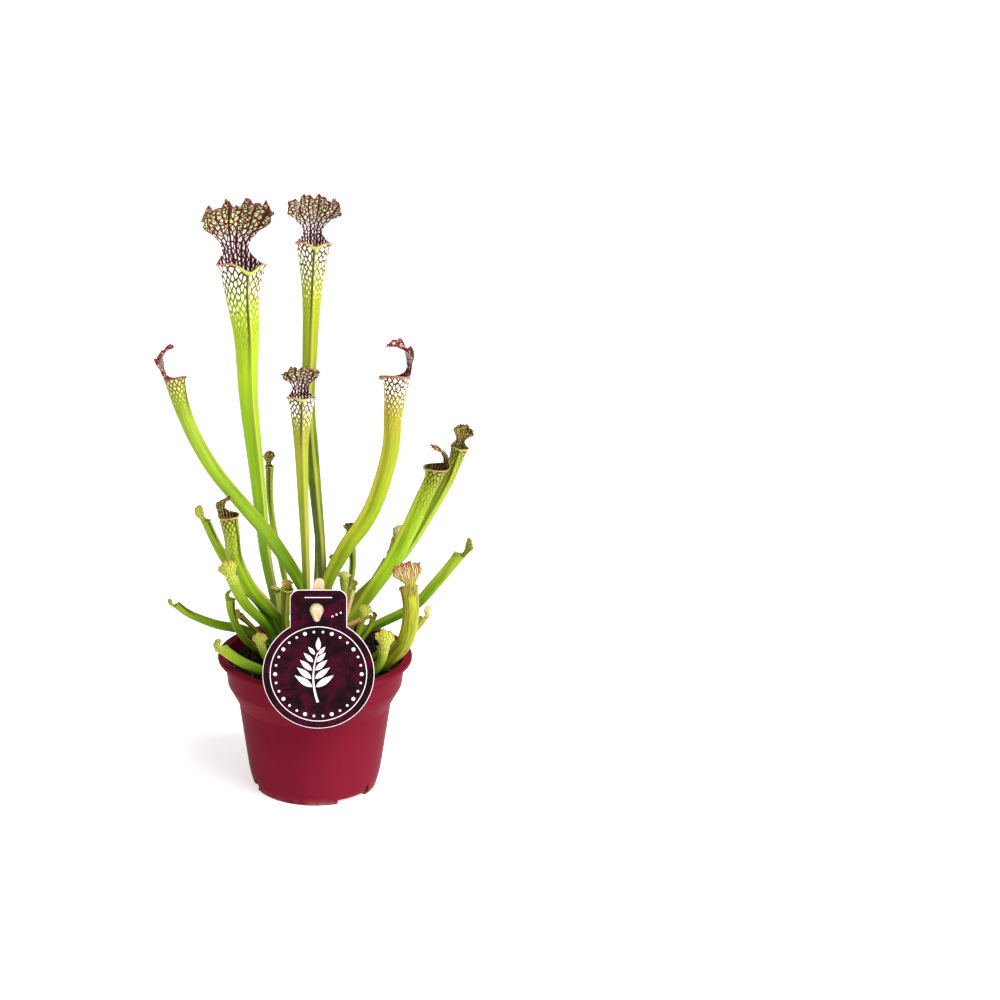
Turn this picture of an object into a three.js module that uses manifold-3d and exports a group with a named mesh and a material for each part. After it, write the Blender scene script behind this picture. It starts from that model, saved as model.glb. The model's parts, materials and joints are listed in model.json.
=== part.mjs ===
import * as THREE from "three";
import { mergeVertices } from "three/addons/utils/BufferGeometryUtils.js";
import Module from "manifold-3d";

// A potted trumpet pitcher plant. Millimetres, +Z up, origin on the pot's axis at the supporting plane.

// Driving dimensions: nursery pot
const RIM_RADIUS = 60;
const POT_HEIGHT = 85.4;
const FLANGE_THICKNESS = 2.4;
const WALL = 1.5;
const FLOOR_UNDERSIDE = 3;
const FOOT_RADIUS = 38.5;
const FOOT_GAP_DEGREES = 33;
const FOOT_GAP_CENTRES = [-52.5, 67.5, 187.5];
const DRAIN_RADIUS = 2.8;
const DRAIN_CIRCLE = 37.6;
const POT_SIDES = 36;

// Driving dimensions: soil and crown
const SOIL_TOP = 78;
const SOIL_GAP = 0.5;
const SOIL_SIDES = 24;
const CROWN_CENTRE_Z = 66;
const CROWN_HALF = [28, 20, 8];
const SEAT_GAP = 0.35;
const SOCKET_GAP = 0.4;

// Driving dimensions: label and stick
const LABEL_RADIUS = 32.9;
const LABEL_CENTRE = [2, -59.7, 95.2];
const LABEL_LEAN_DEGREES = 8;
const LABEL_THICKNESS = 0.8;
const TAB_WIDTH = 33.4;
const TAB_TOP = 50.4;
const TAB_CORNER = 5.6;
const HOLE_HEIGHT = 38.4;
const STICK_WIDTH = 6.2;
const STICK_THICKNESS = 2;
const STICK_TOP = 57;
const STICK_BOTTOM = -44;
const STICK_LEAN_DEGREES = -6;
const PEG_LENGTH = 6;
const PEG_PROUD = 1;

// Driving dimensions: leaf walls
const BLADE = 0.8;
const SMALL_BLADE = 0.65;

const wasm = await Module();
wasm.setup();

const radians = (degrees) => (degrees * Math.PI) / 180;
const vector = (x, y, z) => new THREE.Vector3(x, y, z);

// Closed geometry from points and triangles, turned so that its faces point out
function closedGeometry(points, triangles) {
  let volume = 0;
  for (const [a, b, c] of triangles) {
    volume += points[a].clone().cross(points[b]).dot(points[c]);
  }
  const turned = volume < 0 ? triangles.map(([a, b, c]) => [a, c, b]) : triangles;
  const geometry = new THREE.BufferGeometry();
  geometry.setAttribute(
    "position",
    new THREE.Float32BufferAttribute(points.flatMap((p) => [p.x, p.y, p.z]), 3),
  );
  geometry.setIndex(turned.flat());
  return geometry;
}

// Shared-vertex geometry from any three.js geometry class
function welded(geometry) {
  const bare = geometry.clone();
  bare.deleteAttribute("normal");
  bare.deleteAttribute("uv");
  const merged = mergeVertices(bare, 1e-4);
  const position = merged.getAttribute("position");
  const points = [];
  for (let i = 0; i < position.count; i += 1) {
    points.push(new THREE.Vector3().fromBufferAttribute(position, i));
  }
  const index = Array.from(merged.getIndex().array);
  const triangles = [];
  for (let i = 0; i < index.length; i += 3) {
    const triangle = index.slice(i, i + 3);
    if (new Set(triangle).size === 3) triangles.push(triangle);
  }
  return closedGeometry(points, triangles);
}

function toSolid(geometry) {
  return new wasm.Manifold(
    new wasm.Mesh({
      numProp: 3,
      vertProperties: Float32Array.from(geometry.getAttribute("position").array),
      triVerts: Uint32Array.from(geometry.getIndex().array),
    }),
  );
}

function fromSolid(solid) {
  const { vertProperties, triVerts } = solid.getMesh();
  const geometry = new THREE.BufferGeometry();
  geometry.setAttribute("position", new THREE.Float32BufferAttribute(vertProperties, 3));
  geometry.setIndex(Array.from(triVerts));
  return geometry;
}

// Solid turned round the Z axis from a closed or axis-to-axis profile of [radius, height]
function turned(profile, sides) {
  const points = profile.map(([radius, height]) => new THREE.Vector2(radius, height));
  return welded(new THREE.LatheGeometry(points, sides).rotateX(Math.PI / 2));
}

// Pot: outer wall from foot to flange, then the inner wall back down to the floor
const outerWall = [
  [FOOT_RADIUS, 0],
  [39.3, FLOOR_UNDERSIDE],
  [41.2, 10],
  [47.4, 55],
  [49.8, 59.7],
  [54, 67.5],
  [55.8, POT_HEIGHT - FLANGE_THICKNESS],
];

function innerRadius(height) {
  for (let i = 1; i < outerWall.length; i += 1) {
    const [lowRadius, low] = outerWall[i - 1];
    const [highRadius, high] = outerWall[i];
    if (height <= high) {
      return lowRadius + ((highRadius - lowRadius) * (height - low)) / (high - low) - WALL;
    }
  }
  return outerWall.at(-1)[0] - WALL;
}

function potGeometry() {
  const inner = [67.5, 59.7, 55, 10].map((height) => [innerRadius(height), height]);
  const profile = [
    [0, FLOOR_UNDERSIDE],
    [FOOT_RADIUS - 3, FLOOR_UNDERSIDE],
    [FOOT_RADIUS - 2.4, 0],
    ...outerWall,
    [RIM_RADIUS, POT_HEIGHT - FLANGE_THICKNESS],
    [RIM_RADIUS, POT_HEIGHT - 0.5],
    [RIM_RADIUS - 0.6, POT_HEIGHT],
    [innerRadius(POT_HEIGHT) + 0.6, POT_HEIGHT],
    ...inner,
    [37, FLOOR_UNDERSIDE + WALL],
    [0, FLOOR_UNDERSIDE + WALL],
  ];
  let pot = toSolid(turned(profile, POT_SIDES));
  for (const centre of FOOT_GAP_CENTRES) {
    const half = radians(FOOT_GAP_DEGREES / 2);
    const middle = radians(centre);
    const wedge = new THREE.Shape();
    wedge.moveTo(30 * Math.cos(middle - half), 30 * Math.sin(middle - half));
    wedge.lineTo(44 * Math.cos(middle - half), 44 * Math.sin(middle - half));
    wedge.lineTo(44 * Math.cos(middle + half), 44 * Math.sin(middle + half));
    wedge.lineTo(30 * Math.cos(middle + half), 30 * Math.sin(middle + half));
    const gap = new THREE.ExtrudeGeometry(wedge, { depth: FLOOR_UNDERSIDE + 1, bevelEnabled: false });
    pot = pot.subtract(toSolid(welded(gap.translate(0, 0, -1))));
    const drainAngle = middle + half;
    const drain = new THREE.CylinderGeometry(DRAIN_RADIUS, DRAIN_RADIUS, 6, 10).rotateX(Math.PI / 2);
    drain.translate(DRAIN_CIRCLE * Math.cos(drainAngle), DRAIN_CIRCLE * Math.sin(drainAngle), 4.2);
    pot = pot.subtract(toSolid(welded(drain)));
  }
  return fromSolid(pot);
}

// Crown: the low dome of rhizome under the soil, which every leaf base stands on
function crownGeometry(extra = 0) {
  const dome = new THREE.SphereGeometry(1, 18, 8).rotateX(Math.PI / 2);
  dome.scale(...CROWN_HALF.map((half) => half + extra)).translate(0, 0, CROWN_CENTRE_Z);
  return welded(dome);
}

function crownSeat([x, y]) {
  const [a, b, c] = CROWN_HALF;
  const rise = c * Math.sqrt(1 - (x / a) ** 2 - (y / b) ** 2);
  const normal = vector(x / a ** 2, y / b ** 2, rise / c ** 2).normalize();
  const point = vector(x, y, CROWN_CENTRE_Z + rise).addScaledVector(normal, SEAT_GAP);
  return { point, normal };
}

// Catmull-Rom through the leaf's stations, for the place and the radius alike
function stationCurve(stations) {
  const places = new THREE.CatmullRomCurve3(
    stations.map(([x, y, z]) => vector(x, y, z)), false, "catmullrom", 0.5,
  );
  const radii = new THREE.CatmullRomCurve3(
    stations.map(([, , , radius]) => vector(radius, 0, 0)), false, "catmullrom", 0.5,
  );
  return {
    place: (u) => places.getPoint(u),
    tangent: (u) => places.getTangent(u),
    radius: (u) => radii.getPoint(u).x,
  };
}

// Across-and-front frame of a tube section
function frameAt(tangent, facing) {
  const front = facing.clone().addScaledVector(tangent, -facing.dot(tangent)).normalize();
  const side = new THREE.Vector3().crossVectors(front, tangent).normalize();
  return { front, side, tangent };
}

const around = (frame, angle) =>
  new THREE.Vector3()
    .addScaledVector(frame.front, -Math.cos(angle))
    .addScaledVector(frame.side, Math.sin(angle));

// Mesh of each class of leaf: cells round each half of the lip, cells across the neck, and rows
const MESH = {
  large: { lipCells: 4, neckCells: 8, tubeRows: 8, floorRow: 6, hoodRows: 6, blade: BLADE },
  medium: { lipCells: 3, neckCells: 6, tubeRows: 7, floorRow: 6, hoodRows: 4, blade: BLADE },
  small: { lipCells: 3, neckCells: 4, tubeRows: 5, floorRow: 4, hoodRows: 2, blade: SMALL_BLADE },
};

// Everything about one leaf that its solid, its socket and its hood are worked out from
function leafForm(leaf) {
  const seat = crownSeat(leaf.foot);
  const first = leaf.stations[0];
  const stations = [[seat.point.x, seat.point.y, seat.point.z, first[3] * 0.95], ...leaf.stations];
  const curve = stationCurve(stations);
  const facing = vector(...leaf.facing).normalize();
  const frame = (u) => frameAt(u === 0 ? seat.normal : curve.tangent(u), facing);
  return { ...leaf, ...curve, frame, mesh: MESH[leaf.size], mouth: frame(1) };
}

// Keel along the front of the tube, widest a third of the way up
const wingWidth = (form, u) => form.wing * Math.sin(Math.PI * Math.min(1, u * 1.02) ** 0.7) ** 0.8;

// Angles round the tube from the front, wide over the lip and close together over the neck
function columnAngles({ mesh: { lipCells, neckCells }, neck }) {
  const lipStep = (Math.PI - neck) / lipCells;
  const left = Array.from({ length: lipCells }, (_, j) => -Math.PI + j * lipStep);
  const back = Array.from({ length: neckCells }, (_, j) => neck * ((2 * j) / neckCells - 1));
  const right = Array.from({ length: lipCells }, (_, j) => neck + j * lipStep);
  return [...left, ...back, ...right];
}

// Lip height above the mouth's centre: canted up towards -Y, levelled, dipped at the spout, swept up to
// the neck
function lipHeight(form, frame, angle, share) {
  const out = around(frame, angle).multiplyScalar(form.radius(1));
  const slope = -form.cant * out.y - (form.level * out.z) / frame.tangent.z;
  const spout = form.dip * Math.exp(-(((Math.PI - Math.abs(angle)) / 0.4) ** 2));
  return form.neckRise * share ** 6 + slope * (1 - share ** 4) - spout;
}

function ring(form, u, inset) {
  const frame = form.frame(u);
  const mouthRow = u === 1;
  const radius = form.radius(u);
  const shrink = (radius - inset) / radius;
  return columnAngles(form).map((angle, j) => {
    const share = Math.min(1, (Math.PI - Math.abs(angle)) / (Math.PI - form.neck));
    const keel = j === 0 && inset === 0 ? wingWidth(form, u) : 0;
    const flare = mouthRow ? form.lip * (1 - share) ** 0.5 : 0;
    const height = mouthRow ? lipHeight(form, frame, angle, share) : 0;
    return form
      .place(u)
      .addScaledVector(around(frame, angle), (radius + flare) * shrink + keel)
      .addScaledVector(frame.tangent, height);
  });
}

// Share of a hood's length that its margin reaches at a place across it
function marginReach({ margin, lobes, notch, skew }, across) {
  if (!margin) {
    const lobe = notch * (Math.cos(lobes * Math.PI * (across + skew)) - 1);
    return 1 - 0.34 * Math.abs(across) ** 3 + lobe;
  }
  const next = Math.max(1, Math.min(margin.length - 1, margin.findIndex(([place]) => place >= across)));
  const [low, lowReach] = margin[across > 1 ? margin.length - 2 : next - 1];
  const [high, highReach] = margin[across > 1 ? margin.length - 1 : next];
  return lowReach + ((highReach - lowReach) * (across - low)) / (high - low);
}

// Hood: a cupped fan that widens from the neck and leans over the mouth, with a lobed, waved margin
function hoodPoint(form, across, along) {
  const { length, width, start: startDegrees, lean, cup, recurve, frill, waves } = form.hood;
  const { front, side, tangent } = form.mouth;
  const radius = form.radius(1);
  const b = along * marginReach(form.hood, across);
  const start = radians(startDegrees);
  const turn = radians(lean);
  const angle = start + turn * b;
  const up = (length * (Math.sin(angle) - Math.sin(start))) / turn;
  const forward = (-length * (Math.cos(angle) - Math.cos(start))) / turn;
  const neckHalf = radius * Math.sin(form.neck);
  const fan = THREE.MathUtils.smoothstep(b, 0.03, 0.66);
  const half = neckHalf * (1 - 0.12 * Math.sin(Math.PI * Math.min(1, 3 * b))) + (width / 2 - neckHalf) * fan;
  const cupAngle = form.neck + (radians(cup) - form.neck) * b;
  const bend = half / Math.sin(cupAngle);
  const wave = frill * b ** 2 * Math.sin(waves * Math.PI * across + 0.8) * (0.4 + 0.6 * Math.abs(across));
  const fold = recurve * half * THREE.MathUtils.smoothstep(b, 0.05, 0.7) * across ** 2;
  const inward = bend * (1 - Math.cos(across * cupAngle)) + wave - fold;
  return form
    .place(1)
    .addScaledVector(front, -radius + forward + inward * Math.cos(angle))
    .addScaledVector(tangent, form.neckRise + up - inward * Math.sin(angle))
    .addScaledVector(side, bend * Math.sin(across * cupAngle));
}

// A hood row, moved by the blade's thickness towards the hood's hollow side
function hoodRow(form, k, inset) {
  const { neckCells, hoodRows } = form.mesh;
  const along = k / hoodRows;
  const step = 0.02;
  return Array.from({ length: neckCells + 1 }, (_, j) => {
    const across = (2 * j) / neckCells - 1;
    const point = hoodPoint(form, across, along);
    const lengthwise = hoodPoint(form, across, along + step).sub(hoodPoint(form, across, along - step));
    const crosswise = hoodPoint(form, across + step, along).sub(hoodPoint(form, across - step, along));
    return point.addScaledVector(lengthwise.cross(crosswise).normalize(), inset);
  });
}

// A pitcher: closed petiole and tube, a hollow from the floor row up, an open mouth and the hood
function pitcherGeometry(form) {
  const { lipCells, neckCells, tubeRows, floorRow, hoodRows, blade } = form.mesh;
  const points = [];
  const triangles = [];
  const add = (row) => row.map((point) => points.push(point) - 1);
  const tubeU = (i) => (i / tubeRows) ** 0.9;
  const rows = (from, to, make) => Array.from({ length: to - from + 1 }, (_, i) => add(make(from + i)));
  const outer = {
    tube: rows(0, tubeRows, (i) => ring(form, tubeU(i), 0)),
    hood: rows(1, hoodRows, (k) => hoodRow(form, k, 0)),
  };
  const inner = {
    tube: rows(floorRow, tubeRows, (i) => ring(form, tubeU(i), blade)),
    hood: rows(1, hoodRows, (k) => hoodRow(form, k, blade)),
  };
  const skin = (grid, cells, turnedIn) => {
    for (let i = 0; i + 1 < grid.length; i += 1) {
      for (let j = 0; j < cells; j += 1) {
        const next = (j + 1) % grid[i].length;
        const [a, b, c, d] = [grid[i][j], grid[i][next], grid[i + 1][next], grid[i + 1][j]];
        if (turnedIn) triangles.push([a, c, b], [a, d, c]);
        else triangles.push([a, b, c], [a, c, d]);
      }
    }
  };
  const neckOf = (tube) => tube.at(-1).slice(lipCells, lipCells + neckCells + 1);
  for (const [wall, turnedIn] of [[outer, false], [inner, true]]) {
    skin(wall.tube, 2 * lipCells + neckCells, turnedIn);
    skin([neckOf(wall.tube), ...wall.hood], neckCells, turnedIn);
  }
  const rim = ({ tube, hood }) => {
    const mouthRow = tube.at(-1);
    return [
      ...mouthRow.slice(lipCells + neckCells),
      ...mouthRow.slice(0, lipCells + 1),
      ...hood.map((row) => row[0]),
      ...hood.at(-1).slice(1),
      ...hood.slice(0, -1).map((row) => row.at(-1)).reverse(),
    ];
  };
  const [outerRim, innerRim] = [rim(outer), rim(inner)];
  for (let k = 0; k < outerRim.length; k += 1) {
    const next = (k + 1) % outerRim.length;
    triangles.push([outerRim[k], outerRim[next], innerRim[next]]);
    triangles.push([outerRim[k], innerRim[next], innerRim[k]]);
  }
  const cap = (row, centre, turnedIn) => {
    const middle = points.push(centre) - 1;
    row.forEach((a, j) => {
      const b = row[(j + 1) % row.length];
      triangles.push(turnedIn ? [middle, a, b] : [middle, b, a]);
    });
  };
  cap(outer.tube[0], form.place(0), false);
  cap(inner.tube[0], form.place(tubeU(floorRow)), true);
  return closedGeometry(points, triangles);
}

// Five-sided socket round the buried part of a leaf, with one corner over the keel
function socketGeometry(form) {
  const sides = 5;
  const rows = [];
  const { tubeRows } = form.mesh;
  const socketRow = (u, behind) => {
    const frame = form.frame(u);
    const centre = form.place(u).addScaledVector(frame.tangent, -behind);
    const flat = (form.radius(u) + SOCKET_GAP) / Math.cos(Math.PI / sides);
    const reach = Math.max(flat, form.radius(u) + wingWidth(form, u) + SOCKET_GAP);
    rows.push(
      Array.from({ length: sides }, (_, j) =>
        centre.clone().addScaledVector(around(frame, Math.PI + (2 * Math.PI * j) / sides), reach)),
    );
    return centre.z;
  };
  socketRow(0, 1.2);
  let height = socketRow(0, 0);
  for (let i = 1; height < SOIL_TOP + 7; i += 1) height = socketRow((i / tubeRows) ** 0.9, 0);
  const points = rows.flat();
  const triangles = [];
  for (let i = 0; i + 1 < rows.length; i += 1) {
    for (let j = 0; j < sides; j += 1) {
      const next = (j + 1) % sides;
      const [a, b, c, d] = [i * sides + j, i * sides + next, (i + 1) * sides + next, (i + 1) * sides + j];
      triangles.push([a, b, c], [a, c, d]);
    }
  }
  const top = (rows.length - 1) * sides;
  for (let j = 1; j + 1 < sides; j += 1) {
    triangles.push([0, j + 1, j], [top, top + j, top + j + 1]);
  }
  return closedGeometry(points, triangles);
}

// Soil: fills the pot to below the rim, with an uneven top and a mound of peat at the back right
function soilTop(x, y) {
  const ripples = 0.8 * Math.sin(0.21 * x + 1.3) * Math.cos(0.17 * y) + 0.5 * Math.sin(0.43 * x - 0.37 * y);
  const mound = 6.5 * Math.exp(-((x - 37) ** 2 + (y - 27) ** 2) / 70);
  return SOIL_TOP + ripples + mound;
}

function soilGeometry(forms) {
  const levels = [10, 55, 67.5, 76];
  const points = [vector(0, 0, FLOOR_UNDERSIDE + WALL + 0.3)];
  const triangles = [];
  const circle = (radius, height) => {
    for (let j = 0; j < SOIL_SIDES; j += 1) {
      const angle = (2 * Math.PI * j) / SOIL_SIDES;
      const [x, y] = [radius * Math.cos(angle), radius * Math.sin(angle)];
      points.push(vector(x, y, height ?? soilTop(x, y)));
    }
  };
  circle(36, FLOOR_UNDERSIDE + WALL + 0.3);
  for (const level of levels) circle(innerRadius(level) - SOIL_GAP, level);
  for (const radius of [52, 40, 26, 12]) circle(radius, null);
  points.push(vector(0, 0, soilTop(0, 0)));
  const ringCount = (points.length - 2) / SOIL_SIDES;
  for (let j = 0; j < SOIL_SIDES; j += 1) {
    const next = (j + 1) % SOIL_SIDES;
    triangles.push([0, 1 + next, 1 + j]);
    for (let i = 0; i + 1 < ringCount; i += 1) {
      const [low, high] = [1 + i * SOIL_SIDES, 1 + (i + 1) * SOIL_SIDES];
      triangles.push([low + j, low + next, high + next], [low + j, high + next, high + j]);
    }
    const last = 1 + (ringCount - 1) * SOIL_SIDES;
    triangles.push([last + j, last + next, points.length - 1]);
  }
  let soil = toSolid(closedGeometry(points, triangles));
  soil = soil.subtract(toSolid(crownGeometry(SEAT_GAP)));
  for (const form of forms) soil = soil.subtract(toSolid(socketGeometry(form)));
  soil = soil.subtract(toSolid(stickGeometry(0.35)));
  return fromSolid(soil);
}

// Points along an arc, both ends included
function arcPoints(x, y, radius, fromDegrees, toDegrees, steps) {
  return Array.from({ length: steps + 1 }, (_, i) => {
    const angle = radians(fromDegrees + ((toDegrees - fromDegrees) * i) / steps);
    return new THREE.Vector2(x + radius * Math.cos(angle), y + radius * Math.sin(angle));
  });
}

// Label: a round card with a tab above it, leaning back on the rim, hung on the stick's peg
function labelShape() {
  const half = TAB_WIDTH / 2;
  const join = THREE.MathUtils.radToDeg(Math.asin(half / LABEL_RADIUS));
  const cornerX = half - TAB_CORNER;
  const cornerY = TAB_TOP - TAB_CORNER;
  return new THREE.Shape([
    ...arcPoints(0, 0, LABEL_RADIUS, 90 + join, 450 - join, 36),
    ...arcPoints(cornerX, cornerY, TAB_CORNER, 0, 90, 4),
    ...arcPoints(-cornerX, cornerY, TAB_CORNER, 90, 180, 4),
  ]);
}

// Drop-shaped outline of the peg, and of the hole for it when grown
const dropPoints = (grow = 0) => [
  ...arcPoints(-1, HOLE_HEIGHT, 3.4 + grow, -25, 205, 8),
  ...arcPoints(-1, HOLE_HEIGHT - 5.2, 1.3 + grow, 200, 340, 3),
];

// Label frame: its centre and lean, shared by the card, its hole and the peg
const labelPlace = new THREE.Matrix4()
  .makeTranslation(...LABEL_CENTRE)
  .multiply(new THREE.Matrix4().makeRotationX(Math.PI / 2 - radians(LABEL_LEAN_DEGREES)));

function labelGeometry() {
  const shape = labelShape();
  shape.holes.push(new THREE.Path(dropPoints(0.35)));
  const card = new THREE.ExtrudeGeometry(shape, { depth: LABEL_THICKNESS, bevelEnabled: false });
  return welded(card.translate(0, 0, -LABEL_THICKNESS).applyMatrix4(labelPlace));
}

// Stick: a flat wooden strip with a round top, behind the card, and the peg that holds the card
function stickGeometry(grow = 0) {
  const half = STICK_WIDTH / 2 + grow;
  const strip = new THREE.Shape([
    new THREE.Vector2(-half + 1, STICK_BOTTOM - grow),
    new THREE.Vector2(half - 1, STICK_BOTTOM - grow),
    new THREE.Vector2(half, STICK_BOTTOM + 4),
    ...arcPoints(0, STICK_TOP - half, half, 0, 180, 6),
    new THREE.Vector2(-half, STICK_BOTTOM + 4),
  ]);
  const depth = STICK_THICKNESS + 2 * grow;
  const body = new THREE.ExtrudeGeometry(strip, { depth, bevelEnabled: false });
  body.translate(0.3, -TAB_TOP, grow - depth);
  body.rotateX(radians(LABEL_LEAN_DEGREES - STICK_LEAN_DEGREES));
  body.translate(0, TAB_TOP, -LABEL_THICKNESS - SEAT_GAP);
  const bodySolid = toSolid(welded(body.applyMatrix4(labelPlace)));
  if (grow > 0) return fromSolid(bodySolid);
  const peg = new THREE.ExtrudeGeometry(new THREE.Shape(dropPoints()), {
    depth: PEG_LENGTH, bevelEnabled: false,
  });
  peg.translate(0, 0, PEG_PROUD - PEG_LENGTH);
  return fromSolid(bodySolid.add(toSolid(welded(peg.applyMatrix4(labelPlace)))));
}

// Hoods, from the widest to the tightly folded ones
const hood = (length, width, more = {}) => ({
  length, width, start: -12, lean: 75, cup: 48, recurve: 0, lobes: 3, notch: 0.03, frill: 0.05 * width,
  waves: 3, skew: 0, ...more,
});

// Leaves: base on the crown in plan, then stations of [x, y, z, radius] up to the mouth
const leaves = [
  {
    name: "pitcher_tall_left", size: "large", foot: [-8, 6], facing: [0.35, -1, 0],
    wing: 2.2, lip: 2, dip: 6,
    stations: [
      [-19, 6, 92, 2.4], [-26, 8, 123, 2.9], [-31, 12, 150, 3.6], [-35, 14, 193, 4.6],
      [-40, 16, 242, 5.8], [-41, 18, 279, 7.6], [-42.8, 18, 304.5, 10.4], [-43.4, 18, 323.4, 13.8],
    ],
    hood: hood(39, 46, {
      lean: 78, frill: 2.6, waves: 4, recurve: 0.15,
      margin: [
        [-1, 0.64], [-0.86, 0.8], [-0.7, 0.93], [-0.52, 0.92], [-0.36, 1], [-0.2, 0.97], [-0.05, 0.86],
        [0.1, 0.9], [0.24, 0.97], [0.33, 1.06], [0.42, 0.95], [0.55, 0.93], [0.72, 0.97],
        [0.86, 1], [1, 0.74],
      ],
    }),
  },
  {
    name: "pitcher_tall_centre", size: "large", foot: [2, 6], facing: [0.1, -1, 0],
    wing: 2, lip: 1.8, dip: 3.2,
    stations: [
      [5, 7, 105, 2.4], [4, 8, 143, 2.8], [2, 10, 168, 3.4], [-2, 12, 212, 4.2], [-4, 13, 243, 4],
      [-3, 13, 274, 4.6], [-1.8, 13, 306.1, 5.8], [-0.8, 13, 337, 9.6],
    ],
    hood: hood(29, 34, {
      lean: 76, frill: 2, waves: 4, recurve: 0.1,
      margin: [
        [-1, 0.6], [-0.86, 0.8], [-0.66, 0.93], [-0.5, 0.97], [-0.34, 0.88], [-0.15, 0.98], [0, 0.99],
        [0.13, 0.93], [0.28, 1.05], [0.42, 0.93], [0.6, 1], [0.75, 0.98], [0.88, 0.85], [1, 0.64],
      ],
    }),
  },
  {
    name: "pitcher_far_left", size: "large", foot: [-2, 0], facing: [1, -0.15, 0],
    wing: 3, lip: 1.2, dip: 0.6,
    stations: [
      [-4, -1, 105, 2], [-8, -2, 127, 2.4], [-27, -5, 160, 3], [-43, -7, 181, 3.2], [-59, -9, 202, 3.4],
      [-70, -9, 221, 3.6], [-78, -9, 241, 4.2], [-83, -9, 261, 5.9],
    ],
    hood: hood(22, 20, {
      start: -16, lean: 95, recurve: 0.7, frill: 1.2,
      margin: [
        [-1, 0.5], [-0.75, 0.62], [-0.45, 0.7], [-0.25, 0.94], [0, 1.04], [0.25, 0.96], [0.45, 0.72],
        [0.75, 0.64], [1, 0.5],
      ],
    }),
  },
  {
    name: "pitcher_short_centre", size: "large", foot: [-3, -6], facing: [0.12, -1, 0],
    wing: 1.6, lip: 1.4, dip: 1.2,
    stations: [
      [-4, -9, 105, 2], [-5, -11, 130, 2.3], [-6, -13, 160, 2.6], [-7, -14, 188, 3.2],
      [-8, -16, 220, 4.1], [-8, -16, 238, 5.8], [-8, -16, 251, 7.6],
    ],
    hood: hood(18.5, 24, {
      lean: 80, frill: 1.4, recurve: 0.2,
      margin: [
        [-1, 0.6], [-0.82, 0.88], [-0.62, 0.93], [-0.45, 0.85], [-0.25, 0.88], [0, 0.92], [0.2, 0.97],
        [0.45, 1.03], [0.62, 1], [0.76, 0.86], [0.9, 0.84], [1, 0.62],
      ],
    }),
  },
  {
    name: "pitcher_right", size: "large", foot: [6, 0], facing: [-1, -0.2, 0],
    wing: 3, lip: 1.6, dip: 0.6,
    stations: [
      [6, 0, 105, 2], [8, 0, 128, 2.4], [19, 2, 151, 3.4], [31, 4, 168, 4], [39, 4, 186, 4.2],
      [46, 4, 214, 4.5], [47, 4, 236, 5.3], [49, 4, 259, 8],
    ],
    hood: hood(26, 26, {
      start: -10, lean: 112, recurve: 0.75, frill: 1.5,
      margin: [
        [-1, 0.56], [-0.75, 0.7], [-0.45, 0.76], [-0.25, 0.94], [0, 1.04], [0.25, 0.96], [0.45, 0.78],
        [0.75, 0.72], [1, 0.56],
      ],
    }),
  },
  {
    name: "pitcher_right_low", size: "large", foot: [11, -3], facing: [-0.9, -0.4, 0.2],
    wing: 2.2, lip: 1.2, cant: 0, level: 0.8,
    stations: [
      [19.1, -2, 102.4, 2.5], [27.6, 0, 114.1, 2.9], [38, 2, 129, 3.7], [49.5, 4, 146.4, 4.3],
      [58.6, 5, 165.5, 4.6], [65.7, 6, 182.4, 4.8], [70.8, 6, 194.5, 5.2], [73.8, 6, 202.6, 6.7],
    ],
    hood: hood(20, 12, { start: 16, lean: 92, recurve: 0.4, lobes: 4, notch: 0.05, frill: 0.8 }),
  },
  {
    name: "pitcher_far_right", size: "large", foot: [12, 5], facing: [0.05, -1, 0],
    wing: 1.2, lip: 1, cant: 0.1, level: 0.5,
    stations: [
      [16, 5, 95, 1.9], [22, 6, 115, 2], [36, 12, 128, 2.3], [54, 17, 143, 3], [72, 18, 173, 3.3],
      [81, 18, 191, 3.7], [85.2, 18, 202.5, 4.2], [88, 18, 212.2, 5],
    ],
    hood: hood(12.6, 13.4, {
      lean: 50, cup: 40, frill: 1,
      margin: [
        [-1, 0.55], [-0.75, 0.9], [-0.5, 0.84], [-0.2, 0.92], [0, 1.1], [0.15, 0.94], [0.45, 0.88],
        [0.75, 0.94], [1, 0.6],
      ],
    }),
  },
  {
    name: "pitcher_back_left", size: "medium", foot: [-6, 14], facing: [0.3, -1, 0], wing: 0.8, lip: 0.5,
    stations: [
      [-13.1, 22, 98.1, 1.8], [-20.2, 32, 128.6, 1.9], [-26.3, 40, 155.6, 2], [-28.4, 46, 174.7, 2.1],
      [-28.5, 48, 191.4, 2.6],
    ],
    hood: hood(10, 8, { lean: 60 }),
  },
  {
    name: "pitcher_left_middle", size: "medium", foot: [-15, -5], facing: [0.8, -0.6, 0],
    wing: 2, lip: 0.9, cant: 0,
    stations: [
      [-19.9, -9, 106.1, 2.8], [-28.9, -13, 120.8, 3.5], [-39.7, -18, 135.4, 4.2],
      [-47.6, -22, 154, 4.6], [-49.5, -23, 169.2, 5], [-51.5, -23, 181.1, 5.8],
    ],
    hood: hood(14, 11, { lean: 120, lobes: 2, recurve: 0.4, frill: 0.8 }),
  },
  {
    name: "pitcher_left_small", size: "small", foot: [-13, 11], facing: [0.8, -0.6, 0],
    wing: 0.8, lip: 0.5,
    stations: [
      [-24, 14, 95, 2], [-36, 15, 114, 2.7], [-46.5, 15, 126, 3.1], [-54, 15, 139, 3.2],
      [-61, 15, 151.8, 2.9], [-66.9, 15, 165.7, 2.8],
    ],
    hood: hood(10, 8, { lean: 40, recurve: 0.3 }),
  },
  {
    name: "pitcher_left_crinkled", size: "medium", foot: [-18, -9], facing: [-0.1, 1, 0],
    wing: 1, lip: 0.6, neck: 1,
    stations: [
      [-24, -13, 97, 2.2], [-32.1, -18, 112.9, 2.8], [-40.8, -25, 125.1, 3.2], [-45.8, -31, 136.1, 3.4],
      [-49.2, -33, 145.6, 3.7],
    ],
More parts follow.
